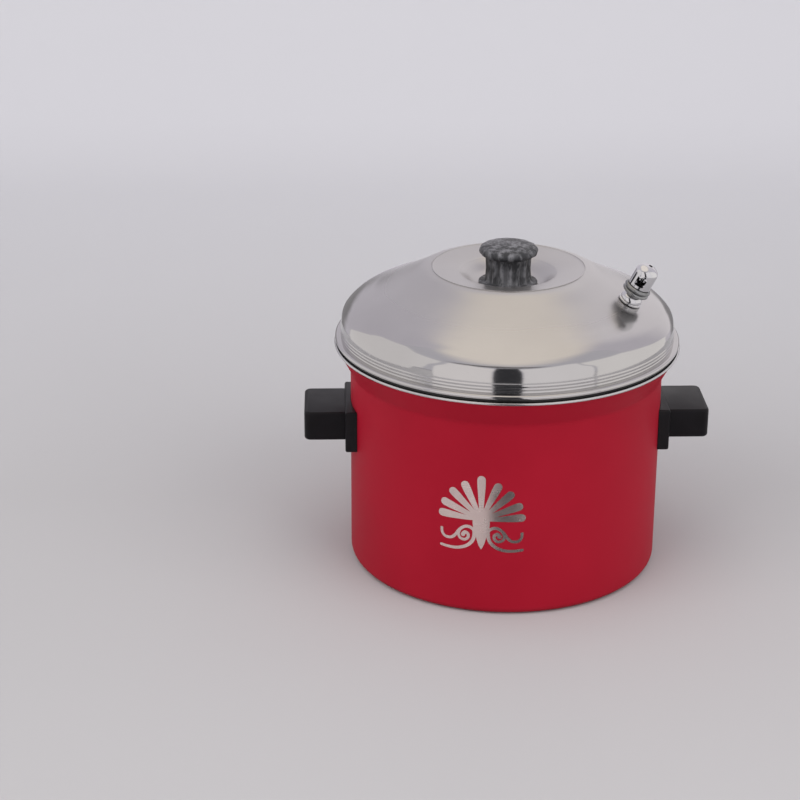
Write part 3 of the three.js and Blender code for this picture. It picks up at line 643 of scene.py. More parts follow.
def makeBracket():
    d = handleDims
    outer = potDims["radius"] + seatGap + d["bracketPlate"]
    pad = addBox("fine_right_handle_bracket",
                 (outer - blankStart, d["bracketWidth"], d["bracketHeight"]),
                 ((outer + blankStart) / 2, 0, gripMiddle))
    roundEdges(pad, d["bracketRound"])
    radius = d["bossRadius"]
    boss = alongX(spinOutline("boss", [(0, blankStart), (radius, blankStart), (radius, bossEnd - tipEase),
                                       (radius - tipEase, bossEnd), (0, bossEnd)], 48))
    wall = addCylinder("wall", potDims["radius"] + seatGap, 0, rimHeight, potDims["spin"])
    bracket = combine(combine(pad, boss, "UNION"), wall, "DIFFERENCE")
    bore = addCylinder("bore", d["screwRadius"] + seatGap, bossEnd - d["screwGrip"] - seatGap,
                       bossEnd + overrun)
    bracket = combine(bracket, alongX(bore), "DIFFERENCE")
    smoothShade(bracket)
    return bracket


def makeScrew(name, shank, headRadius, headHeight, start, seat, crossed=True):
    # a pan head above a plain shank, standing along Z with the head's seat at its given height
    crown = headHeight * 0.55
    outline = [(0, start), (shank - edgeEase, start), (shank, start + tipEase), (shank, seat),
               (headRadius, seat), (headRadius, seat + headHeight - crown)]
    outline += [(headRadius * math.cos(a), seat + headHeight - crown + crown * math.sin(a))
                for a in [math.pi / 2 * i / 6 for i in range(1, 6)]]
    outline.append((0, seat + headHeight))
    screw = spinOutline(name, outline, 48)
    if crossed:
        for angle in (0, 90):
            size = (headRadius * 1.1, handleDims["slotWidth"], handleDims["slotDepth"] * 2)
            slotCut = addBox("slot", size, (0, 0, seat + headHeight))
            screw = combine(screw, movePiece(slotCut, turn(angle)), "DIFFERENCE")
        smoothShade(screw)
    return screw


def makeHandles():
    d = handleDims
    seat = d["gripReach"] - d["recess"] + seatGap
    handle, bracket = makeHandle(), makeBracket()
    screw = alongX(makeScrew("fine_right_handle_screw", d["screwRadius"], d["headRadius"], d["headHeight"],
                             bossEnd - d["screwGrip"], seat))
    for piece, slotName, material in ((handle, "bakelite", bakelite), (bracket, "steel", brightSteel),
                                      (screw, "steel", brightSteel)):
        other = copyPiece(piece, piece.name.replace("right", "left"), turn(180))
        dress(piece, "pot", slotName, material)
        dress(other, "pot", slotName, material)


makeHandles()
print("handles made")

# lid: dished centre, conical dome, round shoulder, beaded skirt and rolled flange

lidDims = {"sheet": 1, "skirt": 128.4, "flange": 131.8, "flangeLift": 1.6, "flangeHeight": 3.6,
           "skirtTop": 12.5, "rib": 0.5, "bead": 0.2, "ribs": 3, "ribSteps": 8, "rise": 58.5, "ridge": 57.5,
           "dish": 37, "dishDrop": 3.5, "dishDepth": 13, "dishFloor": 26, "crease": 1.15,
           "collar": 4, "collarWall": 1, "spin": 240,
           "dome": [(0.51, 0.965), (0.6, 0.855), (0.69, 0.755), (0.78, 0.655), (0.83, 0.61), (0.88, 0.562),
                    (0.92, 0.51), (0.95, 0.452), (0.971, 0.4), (0.982, 0.36), (0.99, 0.3)]}
dishHeight = lidDims["rise"] - lidDims["dishDepth"]


def lidDome():
    d = lidDims
    crease = d["crease"]
    return [
        (d["dishFloor"] - 2, dishHeight),
        (d["dishFloor"] + 2, dishHeight + crease * 1.6),
        (d["dish"] - 4, dishHeight + (d["dishDepth"] - d["dishDrop"]) * 0.66),
        (d["dish"] - crease, d["rise"] - d["dishDrop"] - crease),
        (d["dish"] + crease, d["rise"] - d["dishDrop"]),
        ((d["dish"] + d["ridge"]) / 2, d["rise"] - d["dishDrop"] / 2),
        (d["ridge"] - crease, d["rise"] - crease * 0.35),
        (d["ridge"], d["rise"]),
        (d["ridge"] + crease, d["rise"] - crease * 0.35),
    ] + [(d["skirt"] * r, d["rise"] * z) for r, z in d["dome"]]


def makeLid():
    d = lidDims
    dome = [(0, dishHeight), (d["dishFloor"] * 0.6, dishHeight)] + smoothLine(lidDome(), 6)
    skirtRadius = d["skirt"] - 2 * d["rib"]
    flangeTop = d["flangeLift"] + d["flangeHeight"]
    skirt = [(skirtRadius, d["skirtTop"])]
    ribPitch = (d["skirtTop"] - flangeTop) / d["ribs"]
    across = [i / d["ribSteps"] for i in range(d["ribSteps"] + 1)]
    for rib in range(d["ribs"]):  # pressed bead lines
        start = d["skirtTop"] - ribPitch * (rib + 0.25)
        skirt += [(skirtRadius + d["bead"] * math.sin(math.pi * share), start - ribPitch * 0.7 * share)
                  for share in across]
    roll = d["flangeHeight"] / 2
    rollCentre = (d["flange"] - roll, d["flangeLift"] + roll)
    flange = arcPoints(rollCentre, roll, math.pi / 2, -math.pi / 2, 12)
    seat = potDims["mouth"] - 1.8 * potDims["bead"]
    mouth = potDims["mouth"] - 2 * potDims["bead"] - seatGap
    narrowed = mouth - d["collar"] * math.tan(math.radians(potDims["flare"]))
    collar = [(seat, d["flangeLift"]), (seat, seatGap), (mouth, seatGap), (narrowed, -d["collar"]),
              (narrowed - d["collarWall"], -d["collar"]), (mouth - d["collarWall"], seatGap),
              (skirtRadius - d["sheet"], d["flangeLift"])]
    under = offsetLine(dome + [skirt[0]], -d["sheet"])[::-1]
    under[-1] = (0, dishHeight - d["sheet"])
    lid = spinOutline("fine_lid_shell", dome + skirt + flange + collar + under, d["spin"])
    movePiece(lid, shift(z=rimHeight))
    hole = addCylinder("hole", knobDims["screw"] + seatGap, dishHeight - overrun, dishHeight + overrun)
    lid = combine(lid, movePiece(hole, shift(z=rimHeight)), "DIFFERENCE")
    vent = addCylinder("hole", ventDims["stem"] + seatGap, -ventDims["tail"], ventDims["tail"])
    lid = combine(lid, movePiece(vent, ventMatrix), "DIFFERENCE")
    smoothShade(lid, 25)
    dress(lid, "lid", "polished_steel", lidSteel, paintedShadeSteel)
    for face in lid.data.polygons:  # painted shade: faces inside the seam between the flange and the pot's rim get near-black steel
        centre = face.center
        reach = Vector((centre.x, centre.y)).length
        inSeam = rimHeight * mm < centre.z < (rimHeight + d["flangeLift"] + 0.4) * mm
        face.material_index = 1 if inSeam and reach > mouth * mm else 0


# knob: fluted column between a thin flange and a domed cap, with its screw and washer

# "capRings" go in from the cap's radius and up from the column, and "crownRings" hold shares of that
# radius; the last number of each is the share of the flutes' depth
knobDims = {"height": 31, "flange": 22.4, "flangeHeight": 1.8, "column": 17.8, "waist": 17, "cap": 22.4,
            "capHeight": 9, "flutes": 16, "perFlute": 8, "depth": 1.5, "screw": 2.5, "screwGrip": 14,
            "headRadius": 4.6, "headHeight": 2.8, "washer": 9, "washerHeight": 1.2, "washerEase": 0.3,
            "capRings": [(2.0, 0.6, 0.5), (0.7, 1.5, 0.4), (0.1, 2.8, 0.35), (0, 3.8, 0.35), (0.3, 5.0, 0.3),
                         (1.2, 6.2, 0.3)],
            "crownRings": [(0.86, 7.2, 0.25), (0.69, 8.1, 0.15), (0.42, 8.7, 0.1)]}


def makeKnob():
    d = knobDims
    columnTop = d["height"] - d["capHeight"]
    flange, flangeTop, column = d["flange"], d["flangeHeight"], d["column"]
    rings = [(flange - 0.6, 0, 0.1), (flange, 0.4, 0.1), (flange, flangeTop - 0.6, 0.1),
             (flange - 1.0, flangeTop, 0.2), (column + 0.9, flangeTop + 0.2, 0.5),
             (column, flangeTop + 1.4, 0.75), (column - 0.5, flangeTop + 5, 0.8),
             (d["waist"], (columnTop + flangeTop) / 2, 0.8), (column - 0.4, columnTop - 3, 0.8),
             (column + 0.3, columnTop - 0.4, 0.7)]
    rings += [(d["cap"] - inset, columnTop + rise, flute) for inset, rise, flute in d["capRings"]]
    rings += [(d["cap"] * share, columnTop + rise, flute) for share, rise, flute in d["crownRings"]]
    rings.append((d["cap"] * 0.15, d["height"], 0))
    sides = d["flutes"] * d["perFlute"]
    deselectAll()
    bpy.ops.mesh.primitive_circle_add(vertices=sides, radius=rings[0][0] * mm, fill_type="NGON")
    knob = bpy.context.object
    knob.name = "fine_lid_knob"
    editWhole(knob)
    for before, after in zip(rings, rings[1:]):
        bpy.ops.mesh.extrude_region_move(
            TRANSFORM_OT_translate={"value": (0, 0, (after[1] - before[1]) * mm)})
        grow = after[0] / before[0]
        bpy.ops.transform.resize(value=(grow, grow, 1), center_override=(0, 0, after[1] * mm))
    bpy.ops.object.mode_set(mode="OBJECT")
    for vertex in knob.data.vertices:  # the flutes: each ring drawn in between its ridges
        height = vertex.co.z / mm
        share = min(rings, key=lambda ring: abs(ring[1] - height))[2]
        angle = math.atan2(vertex.co.y, vertex.co.x)
        dip = d["depth"] * share * (0.5 - 0.5 * math.cos(angle * d["flutes"])) ** 0.8 * mm
        flat = Vector((vertex.co.x, vertex.co.y, 0))
        if flat.length > 2 * mm:
            vertex.co -= flat.normalized() * dip
    tidyMesh(knob)
    bore = addCylinder("bore", d["screw"] + seatGap, -overrun, d["screwGrip"] + seatGap)
    knob = combine(knob, bore, "DIFFERENCE")
    movePiece(knob, shift(z=rimHeight + dishHeight + seatGap))
    smoothShade(knob, 50)
    dress(knob, "lid", "speckled_bakelite", speckledBakelite)


def makeKnobFixings():
    d = knobDims
    floor = rimHeight + dishHeight - lidDims["sheet"]
    outer, inner, top = d["washer"], d["screw"] + seatGap, -seatGap
    low = top - d["washerHeight"]
    washer = spinOutline("fine_knob_washer", ringSection(inner, outer, low, top, d["washerEase"]), 64)
    movePiece(washer, shift(z=floor))
    dress(washer, "lid", "steel", brightSteel)
    headTop = -2 * seatGap - d["washerHeight"]
    screw = makeScrew("fine_knob_screw", d["screw"], d["headRadius"], d["headHeight"],
                      -(lidDims["sheet"] + seatGap + d["screwGrip"]), -headTop)
    movePiece(screw, shift(z=floor) @ turn(180, "X"))
    dress(screw, "lid", "steel", brightSteel)


# steam vent and whistle, along the vent's leaning axis

# "bossRings" go in from the boss's radius and up along the vent
ventDims = {"inset": 33.9, "angle": -20.6, "stem": 4, "bore": 1.6, "boss": 9, "bossHeight": 7.5,
            "bossRings": [(0, 1.7), (0.4, 2.1), (0.9, 2.3), (0.9, 2.7), (0.5, 3.0), (0.7, 4.3), (1.5, 5.7),
                          (2.6, 6.8)],
            "neck": 5, "neckTop": 16.4, "neckEase": 1, "tail": 9, "sag": 0.3, "gasket": 7.5,
            "gasketHeight": 1.5, "nut": 7, "nutHeight": 4,
            "collar": 10.4, "collarHeight": 6.5, "groove": 1.4, "cap": 8.6, "capWall": 1, "capHeight": 18,
            "crown": 6.5, "windowWidth": 7.5, "windowHeight": 7.5, "windowSill": 2.3, "windowRound": 1.2,
            "pinHead": 3.2, "pinHeadHeight": 3, "pinRod": 1.2, "pinLength": 12.5, "pinEase": 0.3,
            "pinShoulder": 0.8, "spin": 72}


def findVentMatrix():
    d, lid = ventDims, lidDims
    place = lid["skirt"] - d["inset"]
    (r0, z0), (r1, z1) = [(lid["skirt"] * r, lid["rise"] * z) for r, z in ((0.6, 0.855), (0.78, 0.655))]
    height = z0 + (z1 - z0) * (place - r0) / (r1 - r0)
    lean = math.degrees(math.atan2(z0 - z1, r1 - r0))
    return shift(z=rimHeight) @ turn(d["angle"]) @ shift(x=place, z=height) @ turn(lean, "Y")


ventMatrix = findVentMatrix()


def makeVent():
    d = ventDims
    boss, neck, stem, tail, ease = d["boss"], d["neck"], d["stem"], -d["tail"], d["neckEase"]
    outline = [(d["bore"], tail), (stem - tipEase, tail), (stem, tail + tipEase), (stem, seatGap),
               (boss - edgeEase, seatGap), (boss, seatGap + edgeEase)]
    outline += [(boss - inset, height) for inset, height in d["bossRings"]]
    outline += [(neck + ease, d["bossHeight"]), (neck, d["bossHeight"]), (neck, d["neckTop"] - ease),
                (neck - ease, d["neckTop"]), (d["bore"], d["neckTop"]), (d["bore"], tail)]
    stemPiece = spinOutline("fine_vent_stem", outline, d["spin"])
    gasketTop = -lidDims["sheet"] - seatGap - d["sag"]
    gasketLow = gasketTop - d["gasketHeight"]
    inner = stem + seatGap
    gasket = spinOutline("fine_vent_gasket", ringSection(inner, d["gasket"], gasketLow, gasketTop),
                         d["spin"])
    nutTop = gasketLow - seatGap
    nutLow = nutTop - d["nutHeight"]
    nut = addCylinder("fine_vent_nut", d["nut"], nutLow, nutTop, 6)
    roundEdges(nut, edgeEase)
    nut = combine(nut, addCylinder("bore", inner, nutLow - overrun, nutTop + overrun), "DIFFERENCE")
    smoothShade(nut)
    for piece, slotName, material in ((stemPiece, "chrome", chrome), (gasket, "silicone", silicone),
                                      (nut, "steel", brightSteel)):
        dress(movePiece(piece, ventMatrix), "lid", slotName, material)


def makeWhistle():
    d = ventDims
    low = d["bossHeight"] + 3 * seatGap
    high = low + d["collarHeight"]
    bore, reach, groove = d["neck"] + seatGap, d["collar"], d["groove"]
    middle = (low + high) / 2
    outline = [(bore, low)]
    for start in (low, middle):  # two rounded lobes with the groove between them
        outline += [(reach - groove + groove * math.sin(math.pi * i / 8), start + (middle - low) * i / 8)
                    for i in range(8)]
    outline += [(reach - groove, high), (bore, high), (bore, low)]
    collar = spinOutline("fine_whistle_collar", outline, d["spin"])
    bottom = high + seatGap
    top = bottom + d["capHeight"]
    start = top - d["crown"]
    guide = d["pinRod"] + seatGap

    def crown(radius, height):
        return [(radius * math.cos(a), start + (height - start) * math.sin(a)) for a in
                [math.radians(8 * i) for i in range(11)]]

    rings = 14
    rise = [bottom + 0.3 + (start - bottom - 0.3) * i / rings for i in range(rings)]
    outer = [(d["cap"] - 0.2, bottom)] + [(d["cap"], z) for z in rise] + crown(d["cap"], top)
    inside = d["cap"] - d["capWall"]
    inner = crown(inside, top - d["capWall"])[::-1] + [(inside, z) for z in rise[::-1]] + [(inside, bottom)]
    guided = [(guide, top), (guide, top - d["capWall"])]
    cap = spinOutline("fine_whistle_cap", outer + guided + inner + outer[:1], d["spin"])
    window = addBox("window", (d["windowWidth"], 3 * d["cap"], d["windowHeight"]),
                    (0, 0, bottom + d["windowSill"] + d["windowHeight"] / 2))
    roundEdges(window, d["windowRound"], 4)
    cap = combine(cap, window, "DIFFERENCE")
    smoothShade(cap)
    paintedShadeFaces = []  # painted shade: faces inside the cap, in its windows and facing down, given near-black steel below
    for face in cap.data.polygons:
        reach = Vector((face.center.x, face.center.y)).length
        paintedShadeFaces.append(reach < (d["cap"] - 0.15) * mm and face.center.z < start * mm or face.normal.z < -0.1)
    head, rod, pinLow = d["pinHead"], d["pinRod"], d["neckTop"] + seatGap
    headTop, pinTop = pinLow + d["pinHeadHeight"], pinLow + d["pinLength"]
    ease, shoulder = d["pinEase"], d["pinShoulder"]
    pin = spinOutline("fine_vent_pin", [
        (0, pinLow), (head - ease, pinLow), (head, pinLow + ease), (head, headTop - shoulder),
        (head - shoulder, headTop), (rod, headTop), (rod, pinTop - ease), (rod - ease, pinTop),
        (0, pinTop)], 48)
    dress(movePiece(collar, ventMatrix), "whistle", "chrome", collarSteel)
    dress(movePiece(cap, ventMatrix), "whistle", "chrome", chrome, paintedShadeSteel)
    # painted shade: near-black steel on the cap's inside, window and downward faces
    for face, inPaintedShade in zip(cap.data.polygons, paintedShadeFaces):
        face.material_index = 1 if inPaintedShade else 0
    # painted shade: the pin takes the darker collar steel so that it reads dark inside the whistle's window
    dress(movePiece(pin, ventMatrix), "vent_pin", "steel", collarSteel)


makeLid()
makeKnob()
makeKnobFixings()
makeVent()
makeWhistle()
print("lid made")

# idli plates: four bowls pressed in a lobed sheet with a turned-down edge and steam holes

plateDims = {"count": 6, "cups": 4, "sheet": 1, "pitch": 27.8, "first": 34, "cup": 40, "depth": 13,
             "spacing": 5, "margin": 5.5, "lip": 2.6, "hole": 1.5, "bowlSteps": 6, "spin": 64,
             "lobeSides": 96, "holeSides": 16, "middle": 1.1,  # the middle sheet's side as a share
             "rings": [(0, 1), (0.24, 5), (0.45, 8)],
             "bowl": [(1, 0), (0.95, 0.22), (0.83, 0.6), (0.68, 0.82), (0.5, 0.93), (0.25, 0.985), (0, 1)]}
rodRadius = 4
rodClearance = 0.5


def makePlate():
    d = plateDims
    place = (2 * d["cup"] + d["spacing"]) / (2 * math.sin(math.pi / d["cups"]))
    cupPlaces = [turn(360 * i / d["cups"]) @ shift(x=place) for i in range(d["cups"])]
    lobe = d["cup"] + d["margin"]

    def lobed(radius, low, high):
        sheet = None
        for spot in cupPlaces:
            disc = movePiece(addCylinder("lobe", radius, low, high, d["lobeSides"]), spot)
            sheet = combine(sheet, disc, "UNION") if sheet else disc
        side = place * d["middle"]
        middle = addBox("middle", (side, side, high - low), (0, 0, (low + high) / 2))
        return combine(sheet, movePiece(middle, turn(180 / d["cups"])), "UNION")

    plate = lobed(lobe, -d["lip"], 0)
    plate = combine(plate, lobed(lobe - d["sheet"], -d["lip"] - overrun, -d["sheet"]), "DIFFERENCE")
    inner = smoothLine([(d["cup"] * r, -d["depth"] * z) for r, z in d["bowl"]], d["bowlSteps"])
    inner[-1] = (0, -d["depth"])
    outer = offsetLine(inner, d["sheet"])
    outer = [(d["cup"] + d["sheet"], -d["sheet"] / 2)] + [p for p in outer if p[1] < -d["sheet"] * 0.6]
    outer[-1] = (0, -d["depth"] - d["sheet"])
    bowl = spinOutline("bowl", outer + [(0, -d["sheet"] / 2), outer[0]], d["spin"])
    hollow = spinOutline("hollow", inner + [(0, overrun), (d["cup"], overrun), inner[0]], d["spin"])
    for shape, operation in ((bowl, "UNION"), (hollow, "DIFFERENCE")):
        for spot in cupPlaces:
            plate = combine(plate, copyPiece(shape, "cup", spot), operation)
        throwAway(shape)
    drills = []
    under = -d["depth"] - d["sheet"] - overrun
    for spot in cupPlaces:
        for share, count in d["rings"]:
            for k in range(count):
                drill = addCylinder("drill", d["hole"], under, -2 * d["sheet"], d["holeSides"])
                drills.append(movePiece(drill, spot @ turn(360 * k / count) @ shift(x=share * d["cup"])))
    drills.append(addCylinder("drill", rodRadius + rodClearance, -overrun, overrun, 48))
    pick(drills[0])
    for drill in drills:
        drill.select_set(True)
    bpy.ops.object.join()
    plate = combine(plate, drills[0], "DIFFERENCE")
    plate.name = "fine_idli_plate"
    tidyMesh(plate)
    smoothShade(plate, 28)
    return plate


def makePlates():
    d = plateDims
    model = makePlate()
    for i in range(d["count"]):
        place = shift(z=d["first"] + i * d["pitch"]) @ turn((i + 1) % 2 * 45)
        plate = copyPiece(model, f"fine_idli_plate_{i + 1}", place)
        dress(plate, f"plate_{i + 1}", "steel", brightSteel)
    throwAway(model)


makePlates()
print("plates made")

# stand: pressed foot, riveted rod, spacer tubes, washer and wing nut

standDims = {"stud": 24, "spacerWall": 2.2, "hub": 15, "sheet": 2, "reach": 84, "pad": 12, "rise": 13.5,
             "legs": 4, "legWidth": 14, "legRound": 0.5, "rivet": 8, "rivetHeight": 2, "washer": 9,
             "washerHeight": 1.5, "nut": 8, "nutHeight": 8, "wingSpan": 22, "wingHeight": 14, "wing": 2.5,
             "wingRound": 0.7, "wingRoot": 2, "wingHeel": 3.6, "threadPitch": 1.25, "threadDepth": 0.45}
footHubTop = potDims["wall"] + seatGap + standDims["rise"] + standDims["sheet"]
lastPlate = plateDims["first"] + (plateDims["count"] - 1) * plateDims["pitch"]
rodTop = lastPlate + standDims["stud"]


def makeFoot():
    d = standDims
    floor = potDims["wall"] + seatGap
    knee = d["reach"] - d["pad"]
    hub, sheet, hubLow = d["hub"], d["sheet"], footHubTop - d["sheet"]
    foot = spinOutline("fine_stand_foot", ringSection(0, hub, hubLow, footHubTop)[:-1], 64)
    side = [(rodRadius, hubLow), (hub, hubLow), (knee, floor), (d["reach"], floor),
            (d["reach"], floor + sheet), (knee, floor + sheet), (hub, footHubTop), (rodRadius, footHubTop)]
    for i in range(d["legs"]):
        leg = flatShape("leg", side, d["legWidth"])
        leg = movePiece(leg, shift(y=-d["legWidth"] / 2))
        roundEdges(leg, d["legRound"], 2)
        foot = combine(foot, movePiece(leg, turn(360 * i / d["legs"])), "UNION")
    foot = combine(foot, addCylinder("bore", rodRadius + seatGap, 0, footHubTop + overrun), "DIFFERENCE")
    tidyMesh(foot)
    smoothShade(foot)
    dress(foot, "stand", "steel", brightSteel)


def makeRod():
    d = standDims
    rivet, tall, pitch = d["rivet"], d["rivetHeight"], d["threadPitch"]
    rivetTop = footHubTop - d["sheet"] - seatGap
    threadStart = lastPlate - 4
    outline = [(0, rivetTop - tall), (rivet * 0.6, rivetTop - tall), (rivet * 0.85, rivetTop - tall * 0.8),
               (rivet, rivetTop - tall * 0.3), (rivet, rivetTop), (rodRadius, rivetTop),
               (rodRadius, threadStart)]
    height = threadStart
    while height < rodTop - 2 * pitch:  # thread crests as close rings
        outline += [(rodRadius - d["threadDepth"], height + pitch / 2), (rodRadius, height + pitch)]
        height += pitch
    outline += [(rodRadius, rodTop - 1), (rodRadius - 1, rodTop), (0, rodTop)]
    rod = spinOutline("fine_stand_rod", outline, 48)
    dress(rod, "stand", "steel", brightSteel)


def makeSpacers():
    d, plates = standDims, plateDims
    inner = rodRadius + seatGap
    outer = inner + d["spacerWall"]
    for i in range(plates["count"]):
        height = plates["first"] + i * plates["pitch"]
        low = (footHubTop if i == 0 else height - plates["pitch"]) + seatGap
        high = height - plates["sheet"] - seatGap
        spacer = spinOutline(f"fine_spacer_{i + 1}", ringSection(inner, outer, low, high), 48)
        dress(spacer, "stand", "steel", brightSteel)
    low = lastPlate + seatGap
    high = low + d["washerHeight"]
    washer = spinOutline("fine_top_washer", ringSection(inner, d["washer"], low, high), 48)
    dress(washer, "stand", "steel", brightSteel)


def makeWingNut():
    d = standDims
    low = lastPlate + 3 * seatGap + d["washerHeight"]
    high = low + d["nutHeight"]
    nut, span, tall = d["nut"], d["wingSpan"], d["wingHeight"]
    body = spinOutline("fine_wing_nut", [
        (0, low), (nut - tipEase, low), (nut, low + tipEase), (nut, low + d["nutHeight"] * 0.5),
        (nut * 0.8, high - tipEase), (nut * 0.75, high), (0, high)], 64)
    root = low + d["wingRoot"]
    edge = smoothLine([(nut * 0.9, root), (span * 0.72, low + d["wingHeel"]),
                       (span * 0.97, low + tall * 0.6), (span * 0.95, low + tall * 0.9),
                       (span * 0.78, low + tall), (span * 0.56, low + tall * 0.8), (nut * 0.7, high)], 6)
    outline = [(1, root)] + edge + [(1, high)]
    for angle in (0, 180):
        wing = movePiece(flatShape("wing", outline, d["wing"]), shift(y=-d["wing"] / 2))
        roundEdges(wing, d["wingRound"], 3)
        body = combine(body, movePiece(wing, turn(angle)), "UNION")
    bore = addCylinder("bore", rodRadius + rodClearance, low - overrun, low + tall + overrun)
    body = combine(body, bore, "DIFFERENCE")
    tidyMesh(body)
    smoothShade(body)
    dress(body, "wing_nut", "steel", brightSteel)


makeFoot()
makeRod()
makeSpacers()
makeWingNut()
print("stand made")


# studio: pale sweep, soft boxes and the camera at the photograph's angle

cameraDims = {"distance": 1600, "elevation": 20.5, "round": -5, "yaw": -3.126, "pitch": -1.74, "roll": 0.25,
              "lens": 93.4}
studioDims = {
    "floor": 6.0, "floorDrop": 0.0002, "wallAt": 1.6, "wallHigh": 3.0, "sweep": 0.6,
    "floorColour": (0.50, 0.493, 0.49, 1), "wallColour": (0.74, 0.74, 0.755, 1), "paler": (0.1, 1.2),
    "grain": 60.0, "drift": 0.8, "mottle": 0.06, "worldColour": (0.60, 0.585, 0.63, 1), "worldStrength": 1.0,
    "middle": (0, 0, 0.2), "cardReach": 0.72, "cardCells": (32, 24),
}
# cards that only reflections see, as seen from the pot: columns of degrees round from the camera and
# degrees up from their low edge to their high one, colour, how much fades out at the sides, the low
# edge and the high one, and how much farther off than the reach they stand
cards = {
    "sideLeft": ([(-123, -15, 7), (-107, -15, 36), (-90, -15, 46), (-62, -12, 46), (-49, 6, 45)],
                 (0.85, 0.82, 0.82, 1), (0.02, 0.03, 0.03), 0),
    "frontLeft": ([(-45, -15, 46), (-28, -15, 48), (-7.5, -15, 45)], (0.93, 0.89, 0.89, 1),
                  (0.02, 0.03, 0.02), 0),
    "frontRight": ([(10.2, -15, 45), (30, -15, 46), (48, -15, 47), (55.5, -15, 45)],
                   (0.92, 0.89, 0.90, 1), (0.02, 0.03, 0.02), 0),
    "sideRight": ([(57, -15, 44), (70, -15, 41), (89, -15, 35), (106, -15, 20), (125, -15, -4)],
                  (0.92, 0.89, 0.88, 1), (0.01, 0.03, 0.03), 0),
    "tall": ([(-7.5, -15, 47), (10.2, -15, 47)], (0.045, 0.045, 0.05, 1), (0.03, 0.02, 0.02), 0),
    "edgeLeft": ([(-170, -16, 4), (-150, -16, 12), (-128, -16, 7)], (0.28, 0.27, 0.28, 1),
                 (0.3, 0.05, 0.3), 0.01),
    "edgeRight": ([(133, -16, 1), (150, -16, 5), (170, -16, 4)], (0.28, 0.27, 0.28, 1),
                  (0.3, 0.05, 0.3), 0.01),
    "top": ([(-54, 46, 49), (-5, 47, 53), (40, 46, 49)], (0.16, 0.15, 0.15, 1), (0.25, 0.30, 0.30), 0.02),
    "overhead": ([(-180, 40, 90), (-110, 64, 90), (-60, 52, 90), (0, 48, 90), (60, 50, 90), (110, 54, 90),
                  (180, 40, 90)], (0.98, 0.90, 0.82, 1), (0, 0.35, 0), 0.06),
    "back": ([(112, -12, 66), (145, -12, 66), (205, -12, 66)], (0.84, 0.80, 0.83, 1),
             (0.38, 0.12, 0.25), 0.09),
    "sky": ([(90, -14, 70), (180, -14, 70), (270, -14, 70)], (0.64, 0.61, 0.665, 1),
            (0.03, 0.02, 0.1), 0.12),
}
tallFoot = ((-6, 0.15), (20, 0.15), (10.2, 0.7), (-7.5, 0.7))  # degrees round and reach, on the floor
# lamps: degrees round and up, distance and size in metres, radiance, colour
lamps = {
    "left": (-48, 34, 2.0, 1.6, 1.5, (1.0, 0.99, 0.98)),
    "right": (52, 34, 2.0, 1.6, 1.5, (1.0, 0.99, 0.98)),
    "top": (-10, 78, 2.0, 1.6, 1.1, (1.0, 0.98, 0.96)),
}


def makeCamera():
    d = cameraDims
    deselectAll()
    bpy.ops.object.camera_add()
    camera = bpy.context.object
    up, around = math.radians(d["elevation"]), math.radians(d["round"])
    back = Vector((math.sin(around) * math.cos(up), -math.cos(around) * math.cos(up), math.sin(up)))
    camera.location = Vector((0, 0, rimHeight * mm)) + back * d["distance"] * mm
    pitch = math.radians(d["pitch"]) - up
    heading = math.radians(d["yaw"] - d["round"])
    aim = Vector((math.sin(heading) * math.cos(pitch), math.cos(heading) * math.cos(pitch), math.sin(pitch)))
    facing = aim.to_track_quat("-Z", "Y").to_matrix() @ Matrix.Rotation(math.radians(d["roll"]), 3, "Z")
    camera.rotation_euler = facing.to_euler()
    camera.data.lens = d["lens"]
    camera.data.sensor_width = 36
    bpy.context.scene.camera = camera


def lookOut(around, up):
    # the direction from the pot, counted from where the camera stands
    around, up = math.radians(around + cameraDims["round"]), math.radians(up)
    return Vector((math.sin(around) * math.cos(up), -math.cos(around) * math.cos(up), math.sin(up)))


def makeStage():
    d = studioDims
    deselectAll()
    bpy.ops.mesh.primitive_plane_add(size=d["floor"], location=(0, 0, -d["floorDrop"]))
    floor = bpy.context.object
    floor.name = "floor"
    editEdges(floor, lambda one, other: min(one.y, other.y) > 0)
    bpy.ops.transform.translate(value=(0, d["wallAt"] - d["floor"] / 2, 0))
    bpy.ops.mesh.extrude_region_move(TRANSFORM_OT_translate={"value": (0, 0, d["wallHigh"])})
    bpy.ops.object.mode_set(mode="OBJECT")
    roundEdges(floor, d["sweep"] / mm, 24)
    material, tree, shader, place = newMaterial("paleSweep")
    grain = useGroup(tree, fineGrain, {"Vector": place, "GrainScale": d["grain"], "DriftScale": d["drift"]})
    away = ranged(tree, splitPlace(tree, place)["Y"], 0.0, 1.0, *d["paler"])  # paler towards its wall
    plain = mixColour(tree, away, d["floorColour"], d["wallColour"])
    colour = mixColour(tree, ranged(tree, grain["Drift"], 0.0, d["mottle"]), plain, (1, 1, 1, 1))
    facing = addNode(tree, "ShaderNodeNewGeometry")  # seen through from behind the wall and under the floor
    front = addMath(tree, "SUBTRACT", 1.0, facing.outputs["Backfacing"])
    feed(tree, shader, {"Base Color": colour, "Roughness": 0.9, "Specular IOR Level": 0.1, "Alpha": front})
    floor.data.materials.append(material)


def glowMaterial(name, colour, fade):
    # whole within the card, falling to nothing at its sides, low edge and high edge
    material, tree, shader, place = newMaterial(name)
    apart = splitPlace(tree, place.node.outputs["UV"])
    mask = None
    sides, low, high = fade
    for axis, start, full in (("X", 0, sides), ("X", 1, 1 - sides), ("Y", 0, low), ("Y", 1, 1 - high)):
        if start == full:
            continue
        span = {"Value": apart[axis], "From Min": start, "From Max": full}
        edge = addNode(tree, "ShaderNodeMapRange", span, interpolation_type="SMOOTHSTEP")
        mask = addMath(tree, "MULTIPLY", mask, edge.outputs[0]) if mask else edge.outputs[0]
    feed(tree, shader, {"Base Color": (0, 0, 0, 1), "Specular IOR Level": 0.0, "Alpha": mask,
                        "Emission Color": colour, "Emission Strength": 1.0})
    return material


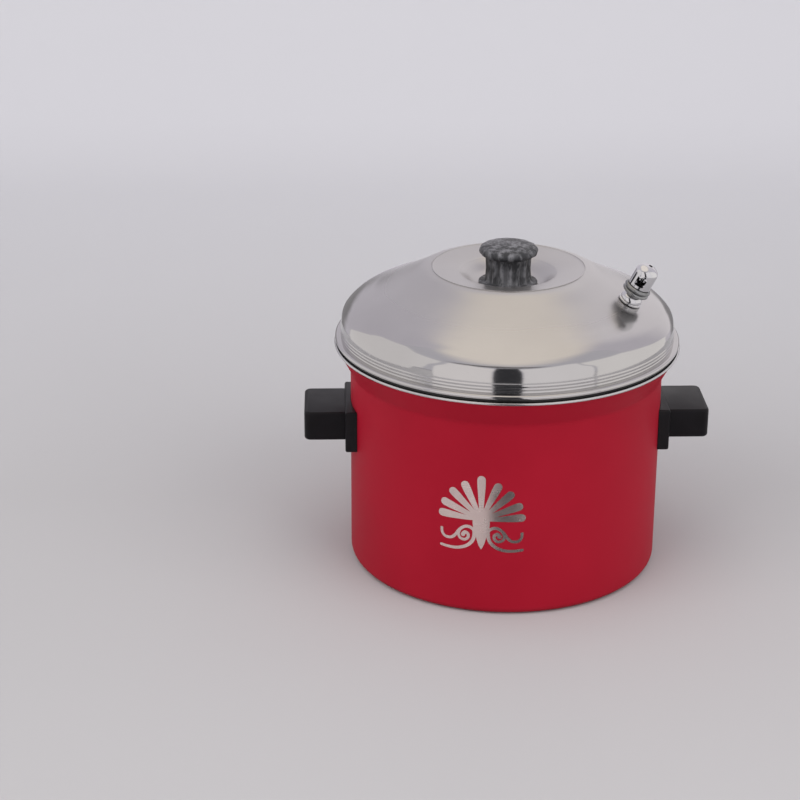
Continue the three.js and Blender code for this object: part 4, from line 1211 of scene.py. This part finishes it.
def hangCard(card, name, colour, fade):
    card.name = f"{name}Card"
    card.data.materials.append(glowMaterial(f"{name}Glow", colour, fade))
    card.visible_camera = card.visible_diffuse = card.visible_shadow = False


def makeCard(name, columns, colour, fade, farther):
    across, up = studioDims["cardCells"]
    deselectAll()
    bpy.ops.mesh.primitive_grid_add(x_subdivisions=across, y_subdivisions=up, size=1)
    card = bpy.context.object
    for vertex in card.data.vertices:
        along = (vertex.co.x + 0.5) * (len(columns) - 1)
        before = min(int(along), len(columns) - 2)
        around, low, high = [a + (b - a) * (along - before)
                             for a, b in zip(columns[before], columns[before + 1])]
        rise = low + (high - low) * (vertex.co.y + 0.5)
        reach = studioDims["cardReach"] + farther
        vertex.co = Vector(studioDims["middle"]) + lookOut(around, rise) * reach
    hangCard(card, name, colour, fade)


def makeTallFoot():
    deselectAll()
    bpy.ops.mesh.primitive_plane_add(size=1)
    foot = bpy.context.object
    for vertex, (around, reach) in zip([foot.data.vertices[i] for i in (0, 1, 3, 2)], tallFoot):
        vertex.co = lookOut(around, 0) * reach + Vector((0, 0, mm))
    hangCard(foot, "tallFoot", cards["tall"][1], cards["tall"][2])


def makeLights():
    for name, card in cards.items():
        makeCard(name, *card)
    makeTallFoot()
    for name, (around, up, distance, size, radiance, colour) in lamps.items():
        deselectAll()
        place = Vector(studioDims["middle"]) + lookOut(around, up) * distance
        bpy.ops.object.light_add(type="AREA", location=place)
        lamp = bpy.context.object
        lamp.name = name
        lamp.rotation_euler = (-lookOut(around, up)).to_track_quat("-Z", "Y").to_euler()
        lamp.data.size = size
        lamp.data.energy = radiance * math.pi * size ** 2
        lamp.data.color = colour
        lamp.visible_camera = lamp.visible_glossy = False
    world = bpy.data.worlds.new("studioWorld")
    bpy.context.scene.world = world
    world.use_nodes = True
    feed(world.node_tree, world.node_tree.nodes["Background"],
         {"Color": studioDims["worldColour"], "Strength": studioDims["worldStrength"]})


makeCamera()
makeStage()
makeLights()
bpy.context.scene.view_settings.view_transform = "Standard"
print("studio made")
